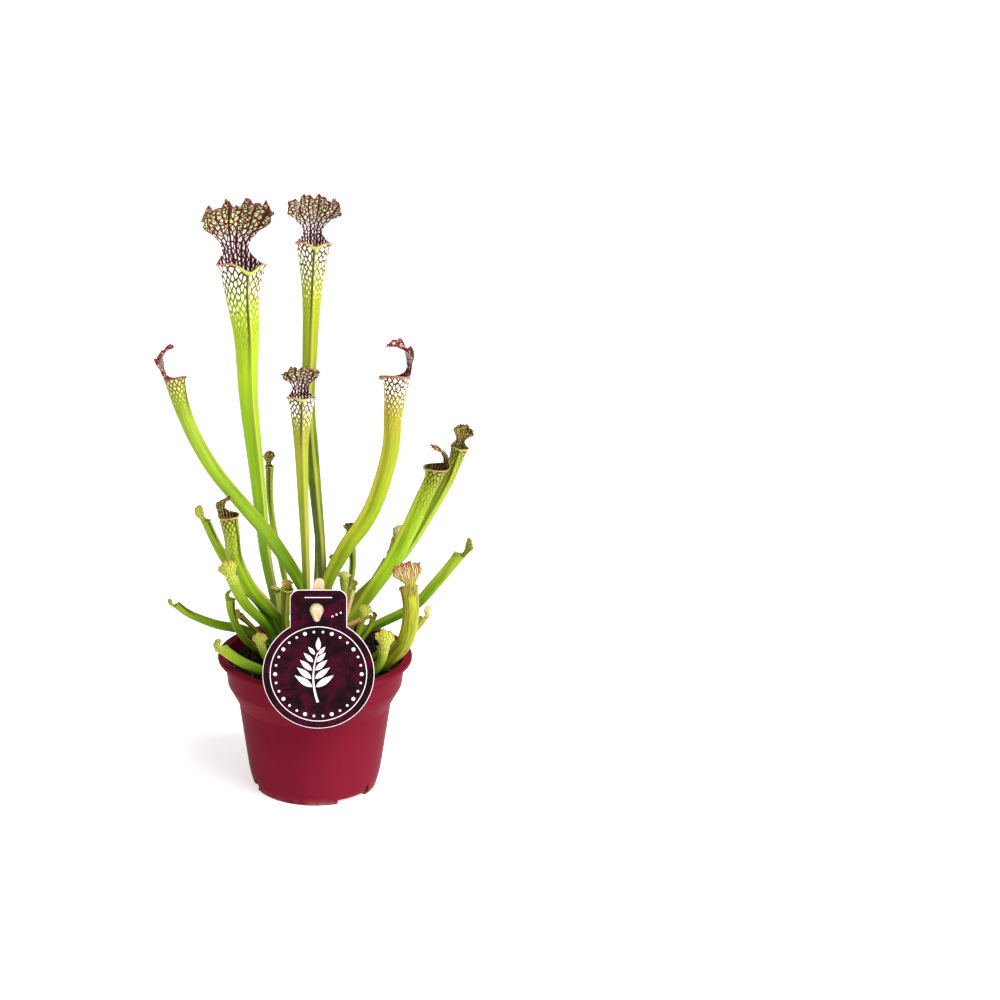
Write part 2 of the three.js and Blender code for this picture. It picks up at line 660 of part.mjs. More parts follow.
    hood: hood(12, 12, {
      start: 4, lean: 60, cup: 45, frill: 0.8, waves: 3,
      margin: [
        [-1, 0.6], [-0.8, 0.9], [-0.5, 0.85], [-0.2, 0.9], [0.1, 1.1], [0.4, 0.88], [0.8, 0.9], [1, 0.6],
      ],
    }),
  },
  {
    name: "pitcher_far_left_low", size: "medium", foot: [-17, 8], facing: [0.35, -0.3, 1], wing: 1, lip: 0.4,
    stations: [
      [-28, 14, 85, 2], [-44, 21, 92, 2.7], [-62, 24, 95, 2.7], [-78, 23, 102, 2.4],
      [-86.6, 22, 108.8, 2.4],
    ],
    hood: hood(6, 6, { lean: 60 }),
  },
  {
    name: "pitcher_left_curved", size: "medium", foot: [-21, 0], facing: [0.8, -0.5, 0.2],
    wing: 0.6, lip: 0.5, neck: 0.9,
    stations: [
      [-31, 0, 84, 1.8], [-40, -1, 91, 2], [-47, -2, 101, 2.3], [-51, -2, 112, 2.6], [-52, -2, 121, 3],
    ],
    hood: hood(9, 8.5, { start: 4, lean: 90, recurve: 0.3 }),
  },
  {
    name: "pitcher_front_left_small", size: "small", foot: [-20, -13.5], facing: [0.2, 1, 0],
    wing: 0.4, lip: 0.5, neck: 1.2,
    stations: [[-26.2, -20, 82.6, 1.7], [-29.9, -25, 91.7, 1.9], [-32.2, -27, 100.2, 2.7]],
    hood: hood(9, 10, { start: 4, lean: 60, notch: 0.05, frill: 0.8 }),
  },
  {
    name: "pitcher_rim_left", size: "medium", foot: [-12, -16], facing: [0.25, 1, 0.3],
    wing: 1, lip: 0.5, neck: 1.1,
    stations: [
      [-19, -26, 80, 2.2], [-31.9, -31, 85.7, 3], [-45.2, -30, 91.7, 3], [-55.3, -25, 96.9, 3.2],
    ],
    hood: hood(8, 11, { start: 6, lean: 60, cup: 50, notch: 0.05, frill: 0.8 }),
  },
  {
    name: "pitcher_open_mouth", size: "small", foot: [-10, -11], facing: [0.05, -1, 0], wing: 0.4, lip: 0.6,
    stations: [
      [-15, -15, 92, 2.1], [-17.6, -17, 111.9, 2.3], [-17.5, -18, 123.9, 2.8], [-16.9, -18, 133.1, 3.7],
    ],
    hood: hood(4.5, 8, { lean: 70 }),
  },
  {
    name: "pitcher_pale_left", size: "small", foot: [-13, 1], facing: [-0.9, -0.4, 0], wing: 0.3, lip: 0.4,
    stations: [
      [-19.7, 0, 99, 1.5], [-20.9, 0, 110.8, 1.7], [-21.8, 0, 118.7, 1.8], [-22.7, 0, 125.2, 2.1],
    ],
    hood: hood(8, 8, { start: 16, lean: 105, recurve: 0.2 }),
  },
  {
    name: "pitcher_speckled_small", size: "small", foot: [-20, 5], facing: [0.3, -1, 0], wing: 0.3, lip: 0.3,
    stations: [[-31, 7, 91, 1.4], [-40, 7, 101, 1.5], [-46, 7, 107, 2.1]],
    hood: hood(5, 5),
  },
  {
    name: "pitcher_back_right", size: "small", foot: [7, 16.5], facing: [0.1, -1, 0], wing: 0.4, lip: 0.4,
    stations: [
      [17.1, 24, 96.7, 1.8], [23.2, 32, 126.5, 2.1], [23.3, 35, 141.1, 2.4], [22.3, 36, 150.9, 2.9],
    ],
    hood: hood(7, 8.5, { recurve: 0.3, notch: 0.05, lobes: 4 }),
  },
  {
    name: "pitcher_striped_back", size: "small", foot: [15, 11], facing: [0.35, 1, 0],
    wing: 0.4, lip: 0.4, neck: 1.3,
    stations: [
      [25.2, 28, 97.9, 1.8], [38.8, 43, 115.4, 2.1], [47.3, 53, 128.1, 2.5], [51.8, 58.5, 139, 3.2],
    ],
    hood: hood(11, 10, { start: 4, lean: 40, lobes: 2, notch: 0.05 }),
  },
  {
    name: "pitcher_back_low", size: "small", foot: [12, 16], facing: [-0.3, -1, 0], wing: 0.3, lip: 0.4,
    stations: [
      [18.8, 20, 102.2, 1.5], [24.5, 25, 108, 1.6], [30.2, 29, 113.9, 1.6], [37.8, 33, 123.5, 1.8],
      [45, 36, 133.1, 2.6],
    ],
    hood: hood(7.5, 7, { recurve: 0.3 }),
  },
  {
    name: "pitcher_pale_right", size: "small", foot: [10, 8], facing: [0, 1, 0], wing: 0.3, lip: 0.4,
    neck: 1.2,
    stations: [[17, 11, 95, 1.3], [19, 11, 113, 1.4], [18, 11, 121, 1.9], [18, 11, 129, 2.9]],
    hood: hood(6, 9, { start: 6, lean: 70 }),
  },
  {
    name: "pitcher_tan_small", size: "small", foot: [7, -9], facing: [-0.2, -1, 0], wing: 0.3, lip: 0.3,
    stations: [
      [14, -10, 98, 1.5], [19.2, -9, 114.8, 1.8], [21, -9, 122.5, 1.9], [22.8, -9, 130.3, 2.1],
    ],
    hood: hood(6, 5),
  },
  {
    name: "pitcher_behind_small", size: "small", foot: [3, 16], facing: [0, -1, 0], wing: 0.3, lip: 0.3,
    stations: [[7, 30, 92.8, 1.4], [9.1, 38, 109.4, 1.4], [10.1, 42, 120.5, 1.5], [11.1, 43, 129.3, 1.9]],
    hood: hood(6, 6),
  },
  {
    name: "leaf_thin_back", size: "small", foot: [-2, 14], facing: [0.2, -1, 0], wing: 0.4, lip: 0.1,
    stations: [[-1, 21, 100, 1.4], [1, 25, 130, 1.5], [1, 26, 152, 1.2]],
    hood: hood(6, 3, { lean: 20, frill: 0.2 }),
  },
  {
    name: "pitcher_frilled_right", size: "large", foot: [19, -8], facing: [-0.3, 0.95, 0],
    wing: 1.6, lip: 0.8, cant: 0,
    stations: [
      [29, -12, 79, 3], [38, -16, 82.4, 3.7], [45.9, -20, 89.8, 4.3], [52.8, -24, 99.5, 4.8],
      [56.5, -27, 112, 5], [57.4, -28.5, 126.4, 5], [56, -29, 137.9, 5.2],
    ],
    hood: hood(16, 19.5, {
      start: 2, lean: 62, cup: 40, recurve: 0.3, frill: 1.4, waves: 4,
      margin: [
        [-1, 0.62], [-0.8, 0.86], [-0.5, 0.93], [-0.25, 0.95], [0, 1], [0.25, 1], [0.5, 0.96],
        [0.8, 0.86], [1, 0.62],
      ],
    }),
  },
  {
    name: "pitcher_long_right", size: "medium", foot: [18, 3], facing: [-0.8, -0.4, 0.5],
    wing: 1.6, lip: 0.6,
    stations: [
      [27.9, 7, 93.8, 2.2], [40.3, 9, 100.9, 2.6], [61.3, 10, 112.1, 2.9], [74.7, 10, 127.2, 3.2],
      [82.5, 10, 137.3, 3.3], [88.8, 10, 145.7, 3.5],
    ],
    hood: hood(12, 9, { start: 0, lean: 50, recurve: 0.4, frill: 0.8 }),
  },
  {
    name: "pitcher_right_small", size: "small", foot: [23, -1], facing: [-0.5, 0.8, 0.3],
    wing: 0.3, lip: 0.4, neck: 1.1,
    stations: [[37, 1, 83, 1.6], [52, 3, 91, 2], [61, 4, 98.5, 2.2], [67, 4, 106.8, 2.5]],
    hood: hood(9, 7, { start: 6, lean: 60 }),
  },
  {
    name: "pitcher_front_right", size: "medium", foot: [13, -15], facing: [-0.15, 1, 0],
    wing: 0.6, lip: 0.5, neck: 1,
    stations: [
      [24, -24, 79, 1.9], [35.1, -28, 83.8, 2.2], [39.8, -30, 91.7, 2.7], [41.1, -31, 100.5, 3.8],
    ],
    hood: hood(12, 13, {
      start: 6, lean: 60, cup: 45, frill: 0.8, waves: 3,
      margin: [
        [-1, 0.6], [-0.8, 0.86], [-0.5, 0.85], [-0.2, 1.08], [0.1, 0.92], [0.4, 0.95], [0.8, 0.82], [1, 0.6],
      ],
    }),
  },
  {
    name: "pitcher_curl_right", size: "small", foot: [13.8, -9.8], facing: [-0.6, -0.8, 0],
    wing: 0.2, lip: 0.3,
    stations: [[21, -12, 88, 1.4], [28, -14, 99, 1.5], [33, -15, 107, 1.5], [35, -15, 113, 1.8]],
    hood: hood(5, 4.4, { lean: 80 }),
  },
  {
    name: "pitcher_crinkled_right", size: "small", foot: [9, -14], facing: [-0.1, 1, 0],
    wing: 0.3, lip: 0.5, neck: 1.2,
    stations: [
      [15, -19, 88, 1.4], [24, -22, 101, 1.6], [27.2, -22, 111.2, 1.8], [28.9, -22, 117, 2.7],
    ],
    hood: hood(8, 9, { start: 4, lean: 50, lobes: 4, notch: 0.06, frill: 0.9 }),
  },
  {
    name: "leaf_dry", size: "small", foot: [3, -14], facing: [0, -0.4, 1], wing: 0.2, lip: 0.1,
    stations: [
      [8.5, -20, 94.9, 1.2], [15.1, -24, 110, 1.4], [21.3, -26, 114, 1.5], [27, -27, 117.2, 1.3],
    ],
    hood: hood(7, 3, { lean: 20, frill: 0.3 }),
  },
];

const NECK = { large: radians(38), medium: radians(45), small: radians(55) };
const NECK_RISE = { large: 0.45, medium: 0.45, small: 0.5 };
const CANT = { large: 0.3, medium: 0.12, small: 0.12 };
const forms = leaves.map((leaf) => {
  const shared = { neck: NECK[leaf.size], neckRise: NECK_RISE[leaf.size] * leaf.stations.at(-1)[3] };
  return leafForm({ cant: CANT[leaf.size], level: 0, dip: 0.8 * leaf.lip, ...shared, ...leaf });
});

// Finishes
const finish = (color, roughness) => new THREE.MeshStandardMaterial({ color, roughness, metalness: 0 });
const FINISHES = {
  pot: finish("#7a1a2c", 0.5),
  soil: finish("#1e140e", 0.95),
  crown: finish("#5a3b22", 0.8),
  label: finish("#2a0a18", 0.45),
  stick: finish("#e6c49a", 0.7),
  leaf: finish("#86b01e", 0.45),
  pale: finish("#c9d268", 0.5),
  dry: finish("#c98a55", 0.8),
};
const pale = new Set([
  "pitcher_left_small", "pitcher_pale_left", "pitcher_pale_right", "pitcher_striped_back",
  "pitcher_tan_small",
]);
const leafFinish = (name) => {
  if (name === "leaf_dry") return FINISHES.dry;
  return pale.has(name) ? FINISHES.pale : FINISHES.leaf;
};

const plant = new THREE.Group();
function place(name, geometry, material) {
  const mesh = new THREE.Mesh(geometry, material.clone());
  mesh.name = name;
  plant.add(mesh);
}

place("pot", potGeometry(), FINISHES.pot);
place("soil", soilGeometry(forms), FINISHES.soil);
place("rhizome", crownGeometry(), FINISHES.crown);
for (const form of forms) place(form.name, pitcherGeometry(form), leafFinish(form.name));
place("label", labelGeometry(), FINISHES.label);
place("label_stick", stickGeometry(), FINISHES.stick);

export default plant;
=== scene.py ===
# %% [markdown]
# # A potted trumpet pitcher plant
# The plant is a rosette of hollow leaves in a nursery pot. Every leaf is a tube that widens upwards, opens in
# a mouth with a rolled lip and ends in a frilled hood. Numbers are millimetres, turned into Blender's metres
# by one factor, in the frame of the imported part: the origin is under the pot's axis and +Z points up.

import json
import math
from types import SimpleNamespace

import bmesh
import bpy
import numpy as np
from mathutils import Matrix, Vector, noise

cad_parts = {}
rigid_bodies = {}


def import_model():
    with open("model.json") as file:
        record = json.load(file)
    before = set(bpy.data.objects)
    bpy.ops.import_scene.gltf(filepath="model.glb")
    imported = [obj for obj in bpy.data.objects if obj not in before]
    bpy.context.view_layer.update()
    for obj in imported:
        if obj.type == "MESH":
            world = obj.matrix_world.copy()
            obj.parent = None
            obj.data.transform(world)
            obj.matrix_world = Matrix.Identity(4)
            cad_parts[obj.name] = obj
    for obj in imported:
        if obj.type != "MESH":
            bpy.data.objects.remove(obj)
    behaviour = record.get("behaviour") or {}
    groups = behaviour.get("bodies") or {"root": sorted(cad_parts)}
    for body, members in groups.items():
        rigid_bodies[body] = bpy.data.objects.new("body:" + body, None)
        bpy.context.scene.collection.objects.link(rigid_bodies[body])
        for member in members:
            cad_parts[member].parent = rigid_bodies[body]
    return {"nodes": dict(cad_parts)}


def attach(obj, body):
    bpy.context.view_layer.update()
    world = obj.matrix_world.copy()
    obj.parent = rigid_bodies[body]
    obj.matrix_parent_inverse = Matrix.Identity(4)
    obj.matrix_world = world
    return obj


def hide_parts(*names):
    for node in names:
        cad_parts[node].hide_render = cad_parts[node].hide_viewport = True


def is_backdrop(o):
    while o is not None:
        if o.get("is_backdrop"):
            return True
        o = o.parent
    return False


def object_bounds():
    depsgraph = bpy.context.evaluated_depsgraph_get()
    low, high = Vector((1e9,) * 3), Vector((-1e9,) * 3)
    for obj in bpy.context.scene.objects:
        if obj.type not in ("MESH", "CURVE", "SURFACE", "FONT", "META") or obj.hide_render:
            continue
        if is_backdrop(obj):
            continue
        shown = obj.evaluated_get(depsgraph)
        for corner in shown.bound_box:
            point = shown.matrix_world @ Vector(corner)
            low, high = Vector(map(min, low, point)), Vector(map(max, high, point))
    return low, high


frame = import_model()
cad_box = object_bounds()
MM = 0.001
print("frame:", len(frame["nodes"]), "nodes")

# %% [markdown]
# ## Small helpers
# A mesh is made from a list of points and faces. Colours are read off as screen colours, so they are turned
# into the linear values that a shader works with.

# %% Colours and meshes
def screen(code):
    """Linear RGBA of a screen colour such as #a0b020."""
    values = [int(code[i : i + 2], 16) / 255 for i in (1, 3, 5)]
    return (*[v / 12.92 if v <= 0.04045 else ((v + 0.055) / 1.055) ** 2.4 for v in values], 1.0)


def new_object(name, data, *materials):
    """Adds a mesh, a curve, a light or a camera to the scene."""
    made = bpy.data.objects.new(name, data)
    bpy.context.scene.collection.objects.link(made)
    for material in materials:
        data.materials.append(material)
    return made


def smooth(mesh, degrees):
    """Smooth shading, except at edges that bend by more than the angle."""
    mesh.shade_smooth()
    mesh.set_sharp_from_angle(angle=math.radians(degrees))


def mesh_piece(name, points, faces, *materials, smooth_degrees=40):
    """Object at the origin from points in millimetres."""
    mesh = bpy.data.meshes.new(name)
    mesh.from_pydata((np.asarray(points, float) * MM).tolist(), [], faces)
    mesh.update()
    smooth(mesh, smooth_degrees)
    return new_object(name, mesh, *materials)


def face_outward(mesh, weld=0.0):
    """Turns the faces outwards, after points within the weld distance are merged."""
    work = bmesh.new()
    work.from_mesh(mesh)
    if weld:
        bmesh.ops.remove_doubles(work, verts=work.verts, dist=weld)
    bmesh.ops.recalc_face_normals(work, faces=work.faces)
    work.to_mesh(mesh)
    work.free()


def as_mesh(piece):
    """Plain mesh of an object as its modifiers or its curve make it."""
    return bpy.data.meshes.new_from_object(piece.evaluated_get(bpy.context.evaluated_depsgraph_get()))


def apply_modifiers(piece):
    mesh = as_mesh(piece)
    piece.modifiers.clear()
    piece.data = mesh


def finished(piece, slot, *nodes):
    """Tells the frame what a piece rides on and which nodes it stands for. The slot is not used."""
    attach(piece, "root")
    if nodes:
        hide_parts(*nodes)


# %% [markdown]
# ## Building node trees
# A material is a tree of small nodes. This helper adds one node per call and returns its output, so a pattern
# reads like a formula. A finish is such a graph with its Principled shader. What stays the same all over the
# surface is set on the shader's own sockets, and only what changes is linked.

# %% Node tree helper
class Graph:
    """Adds nodes to a tree. A text such as #a0b020 stands for a screen colour."""

    def __init__(self, tree):
        self.tree = tree

    def give(self, node, name, value):
        """Links an output to a node's input, or sets the input to a plain value."""
        if isinstance(value, bpy.types.NodeSocket):
            self.tree.links.new(value, node.inputs[name])
        elif value is not None:
            is_colour = isinstance(value, str) and value.startswith("#")
            node.inputs[name].default_value = screen(value) if is_colour else value

    def node(self, kind, inputs=(), output=0, **settings):
        made = self.tree.nodes.new(kind)
        for name, value in settings.items():
            setattr(made, name, value)
        for name, value in inputs.items() if isinstance(inputs, dict) else enumerate(inputs):
            self.give(made, name, value)
        return made.outputs[output]

    def group(self, tree, **values):
        """Places a node group with its own values and returns its outputs."""
        made = self.tree.nodes.new("ShaderNodeGroup")
        made.node_tree = tree
        for name, value in values.items():
            self.give(made, name.replace("_", " "), value)
        return made.outputs

    def math(self, operation, *values):
        return self.node("ShaderNodeMath", values, operation=operation)

    def times(self, first, *others):
        for other in others:
            first = self.math("MULTIPLY", first, other)
        return first

    def plus(self, first, second):
        return self.math("ADD", first, second)

    def less(self, value):
        """One less the value, which turns a mask round."""
        return self.math("SUBTRACT", 1.0, value)

    def most(self, first, *others):
        for other in others:
            first = self.math("MAXIMUM", first, other)
        return first

    def step(self, value, low, high, start=0.0, end=1.0):
        """Soft step of a value from start, at low, to end, at high."""
        ends = [value, low, high, start, end]
        return self.node("ShaderNodeMapRange", ends, interpolation_type="SMOOTHSTEP")

    def mix(self, share, first, second, blend="MIX"):
        inputs = {0: share, 6: first, 7: second}
        return self.node("ShaderNodeMix", inputs, 2, data_type="RGBA", blend_type=blend)

    def join(self, *values):
        return self.node("ShaderNodeCombineXYZ", values)

    def split(self, vector):
        made = self.tree.nodes.new("ShaderNodeSeparateXYZ")
        self.tree.links.new(vector, made.inputs[0])
        return made.outputs

    def stored(self, name):
        """The three numbers that a mesh stores at each point under one name."""
        return self.split(self.node("ShaderNodeAttribute", output="Vector", attribute_name=name))

    def place(self, *stretch):
        """Place on the object, in metres, or stretched by a factor for each axis."""
        place = self.node("ShaderNodeTexCoord", output="Object")
        return self.node("ShaderNodeMapping", {"Vector": place, "Scale": stretch}) if stretch else place

    def vector(self, operation, first, second):
        return self.node("ShaderNodeVectorMath", [first, second], operation=operation)

    def scaled(self, vector, amount):
        return self.node("ShaderNodeVectorMath", {0: vector, "Scale": amount}, operation="SCALE")

    def noise(self, vector, scale, detail=2.0, roughness=0.5, **more):
        inputs = {"Vector": vector, "Scale": scale, "Detail": detail, "Roughness": roughness, **more}
        return self.node("ShaderNodeTexNoise", inputs)

    def wander(self, vector, scale, amount):
        """Random vector round zero that changes smoothly from place to place."""
        inputs = {"Vector": vector, "Scale": scale, "Detail": 1.0}
        colour = self.node("ShaderNodeTexNoise", inputs, "Color")
        return self.scaled(self.vector("SUBTRACT", colour, (0.5, 0.5, 0.5)), amount)


# %% Finishes and node groups
class Finish(Graph):
    """A new material: its graph and its Principled shader."""

    def __init__(self, name, roughness=0.5, **constants):
        self.material = bpy.data.materials.new(name)
        self.material.use_nodes = True
        super().__init__(self.material.node_tree)
        self.shader = self.tree.nodes["Principled BSDF"]
        self.feed(Roughness=roughness, **constants)

    def feed(self, **values):
        for socket, value in values.items():
            self.give(self.shader, socket.replace("_", " "), value)

    def bump(self, height, millimetres, strength=1.0):
        """Relief of that many millimetres from a height in the pattern's own 0 to 1."""
        relief = {"Strength": strength, "Distance": millimetres * MM, "Height": height}
        self.feed(Normal=self.node("ShaderNodeBump", relief))


def node_group(name, family, inputs, outputs):
    """Empty node group with named sockets: its graph, its input sockets and its output node."""
    tree = bpy.data.node_groups.new(name, family + "NodeTree")
    for socket, (kind, value) in inputs.items():
        made = tree.interface.new_socket(socket, in_out="INPUT", socket_type="NodeSocket" + kind)
        if value is not None:
            made.default_value = value
    for socket, kind in outputs.items():
        tree.interface.new_socket(socket, in_out="OUTPUT", socket_type="NodeSocket" + kind)
    return Graph(tree), tree.nodes.new("NodeGroupInput").outputs, tree.nodes.new("NodeGroupOutput")


# %% [markdown]
# ## Leaf net pattern
# Pitcher leaves carry a net of veins round pale, window-like cells. A Voronoi texture gives such a net: its
# distance to the nearest cell edge is small on the veins and large in the cells. The lattice is turned by 45
# degrees first, which makes each cell an upright diamond, as in the living leaf, and a little noise bends the
# veins.

# %% Vein net group
def vein_net_group():
    graph, ins, out = node_group(
        "vein net", "Shader",
        {"Across": ("Float", 0.0), "Along": ("Float", 0.0), "Bend": ("Float", 0.35)},
        {"Edge": "Float", "Cell": "Float"},
    )
    straight = graph.join(*[graph.math(sign, ins["Across"], ins["Along"]) for sign in ("ADD", "SUBTRACT")])
    bent = graph.vector("ADD", straight, graph.wander(straight, 1.3, ins["Bend"]))
    cells = {"Vector": bent, "Scale": 1.0, "Randomness": 0.62}
    edge = graph.node("ShaderNodeTexVoronoi", cells, voronoi_dimensions="2D", feature="DISTANCE_TO_EDGE")
    colour = graph.node("ShaderNodeTexVoronoi", cells, "Color", voronoi_dimensions="2D", feature="F1")
    graph.give(out, "Edge", edge)
    graph.give(out, "Cell", graph.split(colour)[0])
    return graph.tree


VEIN_NET = vein_net_group()
print("group:", VEIN_NET.name)


# %% [markdown]
# ## Leaf colour
# One group paints every pitcher. It reads two maps of the leaf: the unrolled sheet, where a column keeps its
# angle and so narrows down the tube, and the fan, which runs from edge to edge of the hood and from the neck
# outwards. Stored values tell how far up the leaf a point is, how far below the mouth, how far to either side
# of the keel, and whether it is on the inside. The tube, the keel and the hood each have a function.

# %% Pitcher inputs
PITCHER_INPUTS = {
    # the foot colour, low on the tube, is partly the leaf's own green and partly painted shade of the crowded
    # rosette's base
    "Foot": "#4c7a06", "Body": "#98c41c", "Shoulder": "#d6e834", "Stripe": "#86b010", "Window": "#fffef8",
    "Tube Vein": "#54341f", "Low Vein": "#8a8a28", "Hood Cell": "#f4f0be", "Hood Vein": "#501414",
    # the keel colour is painted shade on the keel's left flank
    "Neck Vein": "#48081e", "Margin": "#7e3440", "Keel": "#3c5a02", "Crest": "#a88a4c",
    "Foot Share": 0.5, "Window Depth": 44.0, "Net": 1.0, "Tube Veins": 1.0, "Hood Net": 1.2,
    "Ray Width": 1.15, "Stain": 0.4, "Rays": 3.1, "Rungs": 8.0, "Streaks": 0.4, "Throat": 0.0,
}


def leaf_places(graph, ins):
    """What the pattern reads from the leaf's mesh."""
    at = SimpleNamespace(unrolled=graph.node("ShaderNodeUVMap", uv_map="unrolled"))
    at.across, at.along, _ = graph.split(at.unrolled)
    at.fan, at.rise, _ = graph.split(graph.node("ShaderNodeUVMap", uv_map="fan"))
    at.share, below, at.from_keel = graph.stored("leaf_place")
    at.inside, at.seed, at.margin = graph.stored("leaf_kind")
    at.outside = graph.less(at.inside)
    at.depth = graph.math("DIVIDE", below, ins["Window Depth"])
    return at


# %% Tube pattern
def vein_line(graph, edge, width, soft):
    """One on a vein, nothing beside it, from the distance to the vein's middle."""
    return graph.step(edge, width, graph.plus(width, soft), 1.0, 0.0)


def net(graph, across, along, bend=0.35):
    outputs = graph.group(VEIN_NET, Across=across, Along=along, Bend=bend)
    return outputs["Edge"], outputs["Cell"]


def tube_net(graph, ins, at):
    """Masks of the windows, which end in a ragged line down the tube, and of the thin veins between them."""
    edge, cell = net(graph, graph.times(at.across, 3.0), graph.times(at.along, 1.75))
    closing = graph.step(at.depth, 0.1, 1.0, 0.15, 0.42)
    ragged = graph.math("DIVIDE", at.depth, graph.math("MULTIPLY_ADD", cell, 0.4, 0.68))
    open_part = graph.times(graph.step(ragged, 0.85, 1.1, 1.0, 0.0), ins["Net"])
    window = graph.times(graph.less(vein_line(graph, edge, closing, 0.06)), open_part)
    thin = vein_line(graph, edge, graph.step(at.depth, 0.0, 0.9, 0.11, 0.02), 0.08)
    vein_part = graph.times(graph.step(at.depth, 0.8, 1.5, 1.0, 0.0), ins["Tube Veins"])
    return window, graph.times(thin, vein_part)


def tube_colour(graph, ins, at, window, thin):
    """Green that lightens up the tube from a foot that is partly painted shade, its streaks, the net on it and
    the speckled throat.
    """
    fine = graph.join(graph.times(at.across, 18.0), graph.times(at.along, 0.6))
    at.streak = graph.noise(fine, 0.6, 3.0, 0.6)
    at.patches = graph.noise(at.unrolled, 0.45)
    broad = graph.noise(graph.join(graph.times(at.across, 2.5), graph.times(at.along, 0.25)), 0.8)
    reach = ins["Foot Share"]
    green = graph.mix(graph.step(at.share, graph.times(reach, 0.4), reach), ins["Foot"], ins["Body"])
    green = graph.mix(graph.step(at.share, 0.5, 1.0, 0.0, 0.85), green, ins["Shoulder"])
    green = graph.mix(graph.times(graph.step(at.streak, 0.42, 0.6), ins["Streaks"]), green, ins["Stripe"])
    green = graph.mix(graph.step(broad, 0.4, 0.64, 0.0, 0.28), green, "#bcc890", "MULTIPLY")
    green = graph.mix(graph.step(at.patches, 0.4, 0.75, 0.0, 0.2), green, ins["Shoulder"])
    vein = graph.mix(graph.step(at.depth, 0.1, 0.75), ins["Tube Vein"], ins["Low Vein"])
    pane = graph.mix(graph.step(at.depth, 0.35, 1.0, 0.0, 0.4), ins["Window"], ins["Shoulder"])
    tube = graph.mix(window, graph.mix(thin, green, vein), pane)
    speckle = graph.noise(at.unrolled, 7.0, 2.0, 0.7)
    throat = graph.mix(graph.step(speckle, 0.5, 0.62), ins["Tube Vein"], ins["Window"])
    return graph.mix(graph.times(at.inside, ins["Throat"]), tube, throat)


def with_keel(graph, ins, at, tube):
    """The tube's outside with the keel: painted shade on its left flank, a painted highlight of the shoulder
    colour on its right, brown on its crest.
    """
    flank = graph.times(at.from_keel, graph.math("SIGN", at.fan))
    # left is painted shade, strongest near the mouth; right is a painted highlight in the shoulder colour
    left = graph.times(graph.step(flank, 0.1, 0.35), graph.step(flank, 1.0, 1.8, 1.0, 0.0))
    left = graph.times(left, graph.step(at.depth, 0.6, 1.5, 1.0, 0.1))
    flank = graph.times(flank, -1.0)
    right = graph.times(graph.step(flank, 0.1, 0.35), graph.step(flank, 1.2, 2.4, 0.32, 0.0))
    crest = graph.step(at.from_keel, 0.14, 0.34, 0.9, 0.0)
    for share, colour in ((left, "Keel"), (right, "Shoulder"), (crest, "Crest")):
        tube = graph.mix(graph.times(share, at.outside), tube, ins[colour])
    return tube, graph.times(graph.most(left, crest), at.outside)


# %% [markdown]
# ## Hood colour
# On the real hood thick veins run from the neck to the margin like the rays of a fan, fork, and are tied by a
# net that is finer towards the margin. A wave across the fan makes the rays, the same wave at half its length
# makes the branches between them, and the vein net, at two scales, makes the rest. A shift by the leaf's own
# number gives every leaf other veins.

# %% Hood pattern
def hood_veins(graph, ins, at):
    """Mask of the hood's veins: bent rays, branches between them, rungs across and a finer net."""
    own = graph.times(at.seed, 3.71)
    at.drift = graph.join(graph.times(at.fan, 2.0), graph.times(at.rise, 2.0), own)
    rays = graph.times(at.fan, ins["Rays"])
    bent = graph.math("MULTIPLY_ADD", graph.noise(at.drift, 1.0, 1.0), 0.9, rays)
    width = graph.times(graph.step(at.rise, -0.1, 0.45, 0.2, 0.06), ins["Ray Width"])
    ray = vein_line(graph, graph.math("PINGPONG", bent, 0.5), width, 0.06)
    width = graph.times(graph.step(at.rise, 0.12, 0.35, 0.0, 0.07), ins["Ray Width"])
    branch = vein_line(graph, graph.math("PINGPONG", graph.times(bent, 2.0), 0.5), width, 0.06)
    branch = graph.times(branch, graph.step(at.rise, 0.1, 0.25, 0.0, 0.85))
    across, along = graph.plus(at.fan, own), graph.times(graph.plus(at.rise, own), ins["Rungs"])
    rungs, _ = net(graph, graph.times(across, ins["Rays"]), along, 0.4)
    finer, at.speck = net(graph, graph.times(across, graph.times(ins["Rays"], 1.5)), along, 0.5)
    width = graph.times(ins["Hood Net"], graph.step(at.rise, 0.0, 0.5, 0.12, 0.06))
    rung = vein_line(graph, rungs, width, 0.06)
    small = vein_line(graph, finer, graph.times(ins["Hood Net"], 0.06), 0.07)
    small = graph.times(small, graph.step(at.rise, 0.15, 0.4))
    return graph.most(ray, branch, rung, small)


def hood_colour(graph, ins, at, veins):
    """Cream cells, white near the neck and stained in places, dark veins and a margin in patches."""
    stain = graph.step(graph.noise(at.drift, 1.6, 3.0, 0.6), 0.45, 0.7)
    stain = graph.times(stain, ins["Stain"], graph.step(at.rise, 0.1, 0.4))
    pane = graph.mix(graph.step(at.speck, 0.35, 0.9, 0.0, 0.4), ins["Hood Cell"], ins["Shoulder"])
    pane = graph.mix(graph.step(at.rise, 0.15, 0.5, 1.0, 0.0), pane, ins["Window"])
    pane = graph.mix(stain, pane, ins["Hood Vein"])
    vein = graph.mix(graph.step(at.rise, 0.05, 0.5), ins["Neck Vein"], ins["Hood Vein"])
    frayed = graph.step(graph.noise(at.unrolled, 5.0), 0.3, 0.6, 0.3, 1.0)
    margin = graph.times(graph.step(at.margin, 0.84, 0.99), frayed)
    return graph.mix(margin, graph.mix(veins, pane, vein), ins["Margin"])


def where_hood(graph, at):
    """Mask of the hood, which runs a little way down the tube between the columns of the neck."""
    wide = graph.math("MULTIPLY_ADD", at.inside, 1.3, 0.9)
    between = graph.step(graph.math("ABSOLUTE", at.fan), wide, graph.plus(wide, 0.3), 1.0, 0.0)
    return graph.most(graph.step(at.rise, -0.01, 0.0), graph.times(between, graph.step(at.rise, -0.5, -0.25)))


# %% [markdown]
# ## One group for every pitcher
# The parts are put together once, in a group with named inputs. It gives out a colour, the glow of the thin
# windows, a height for the raised veins, and the roughness.

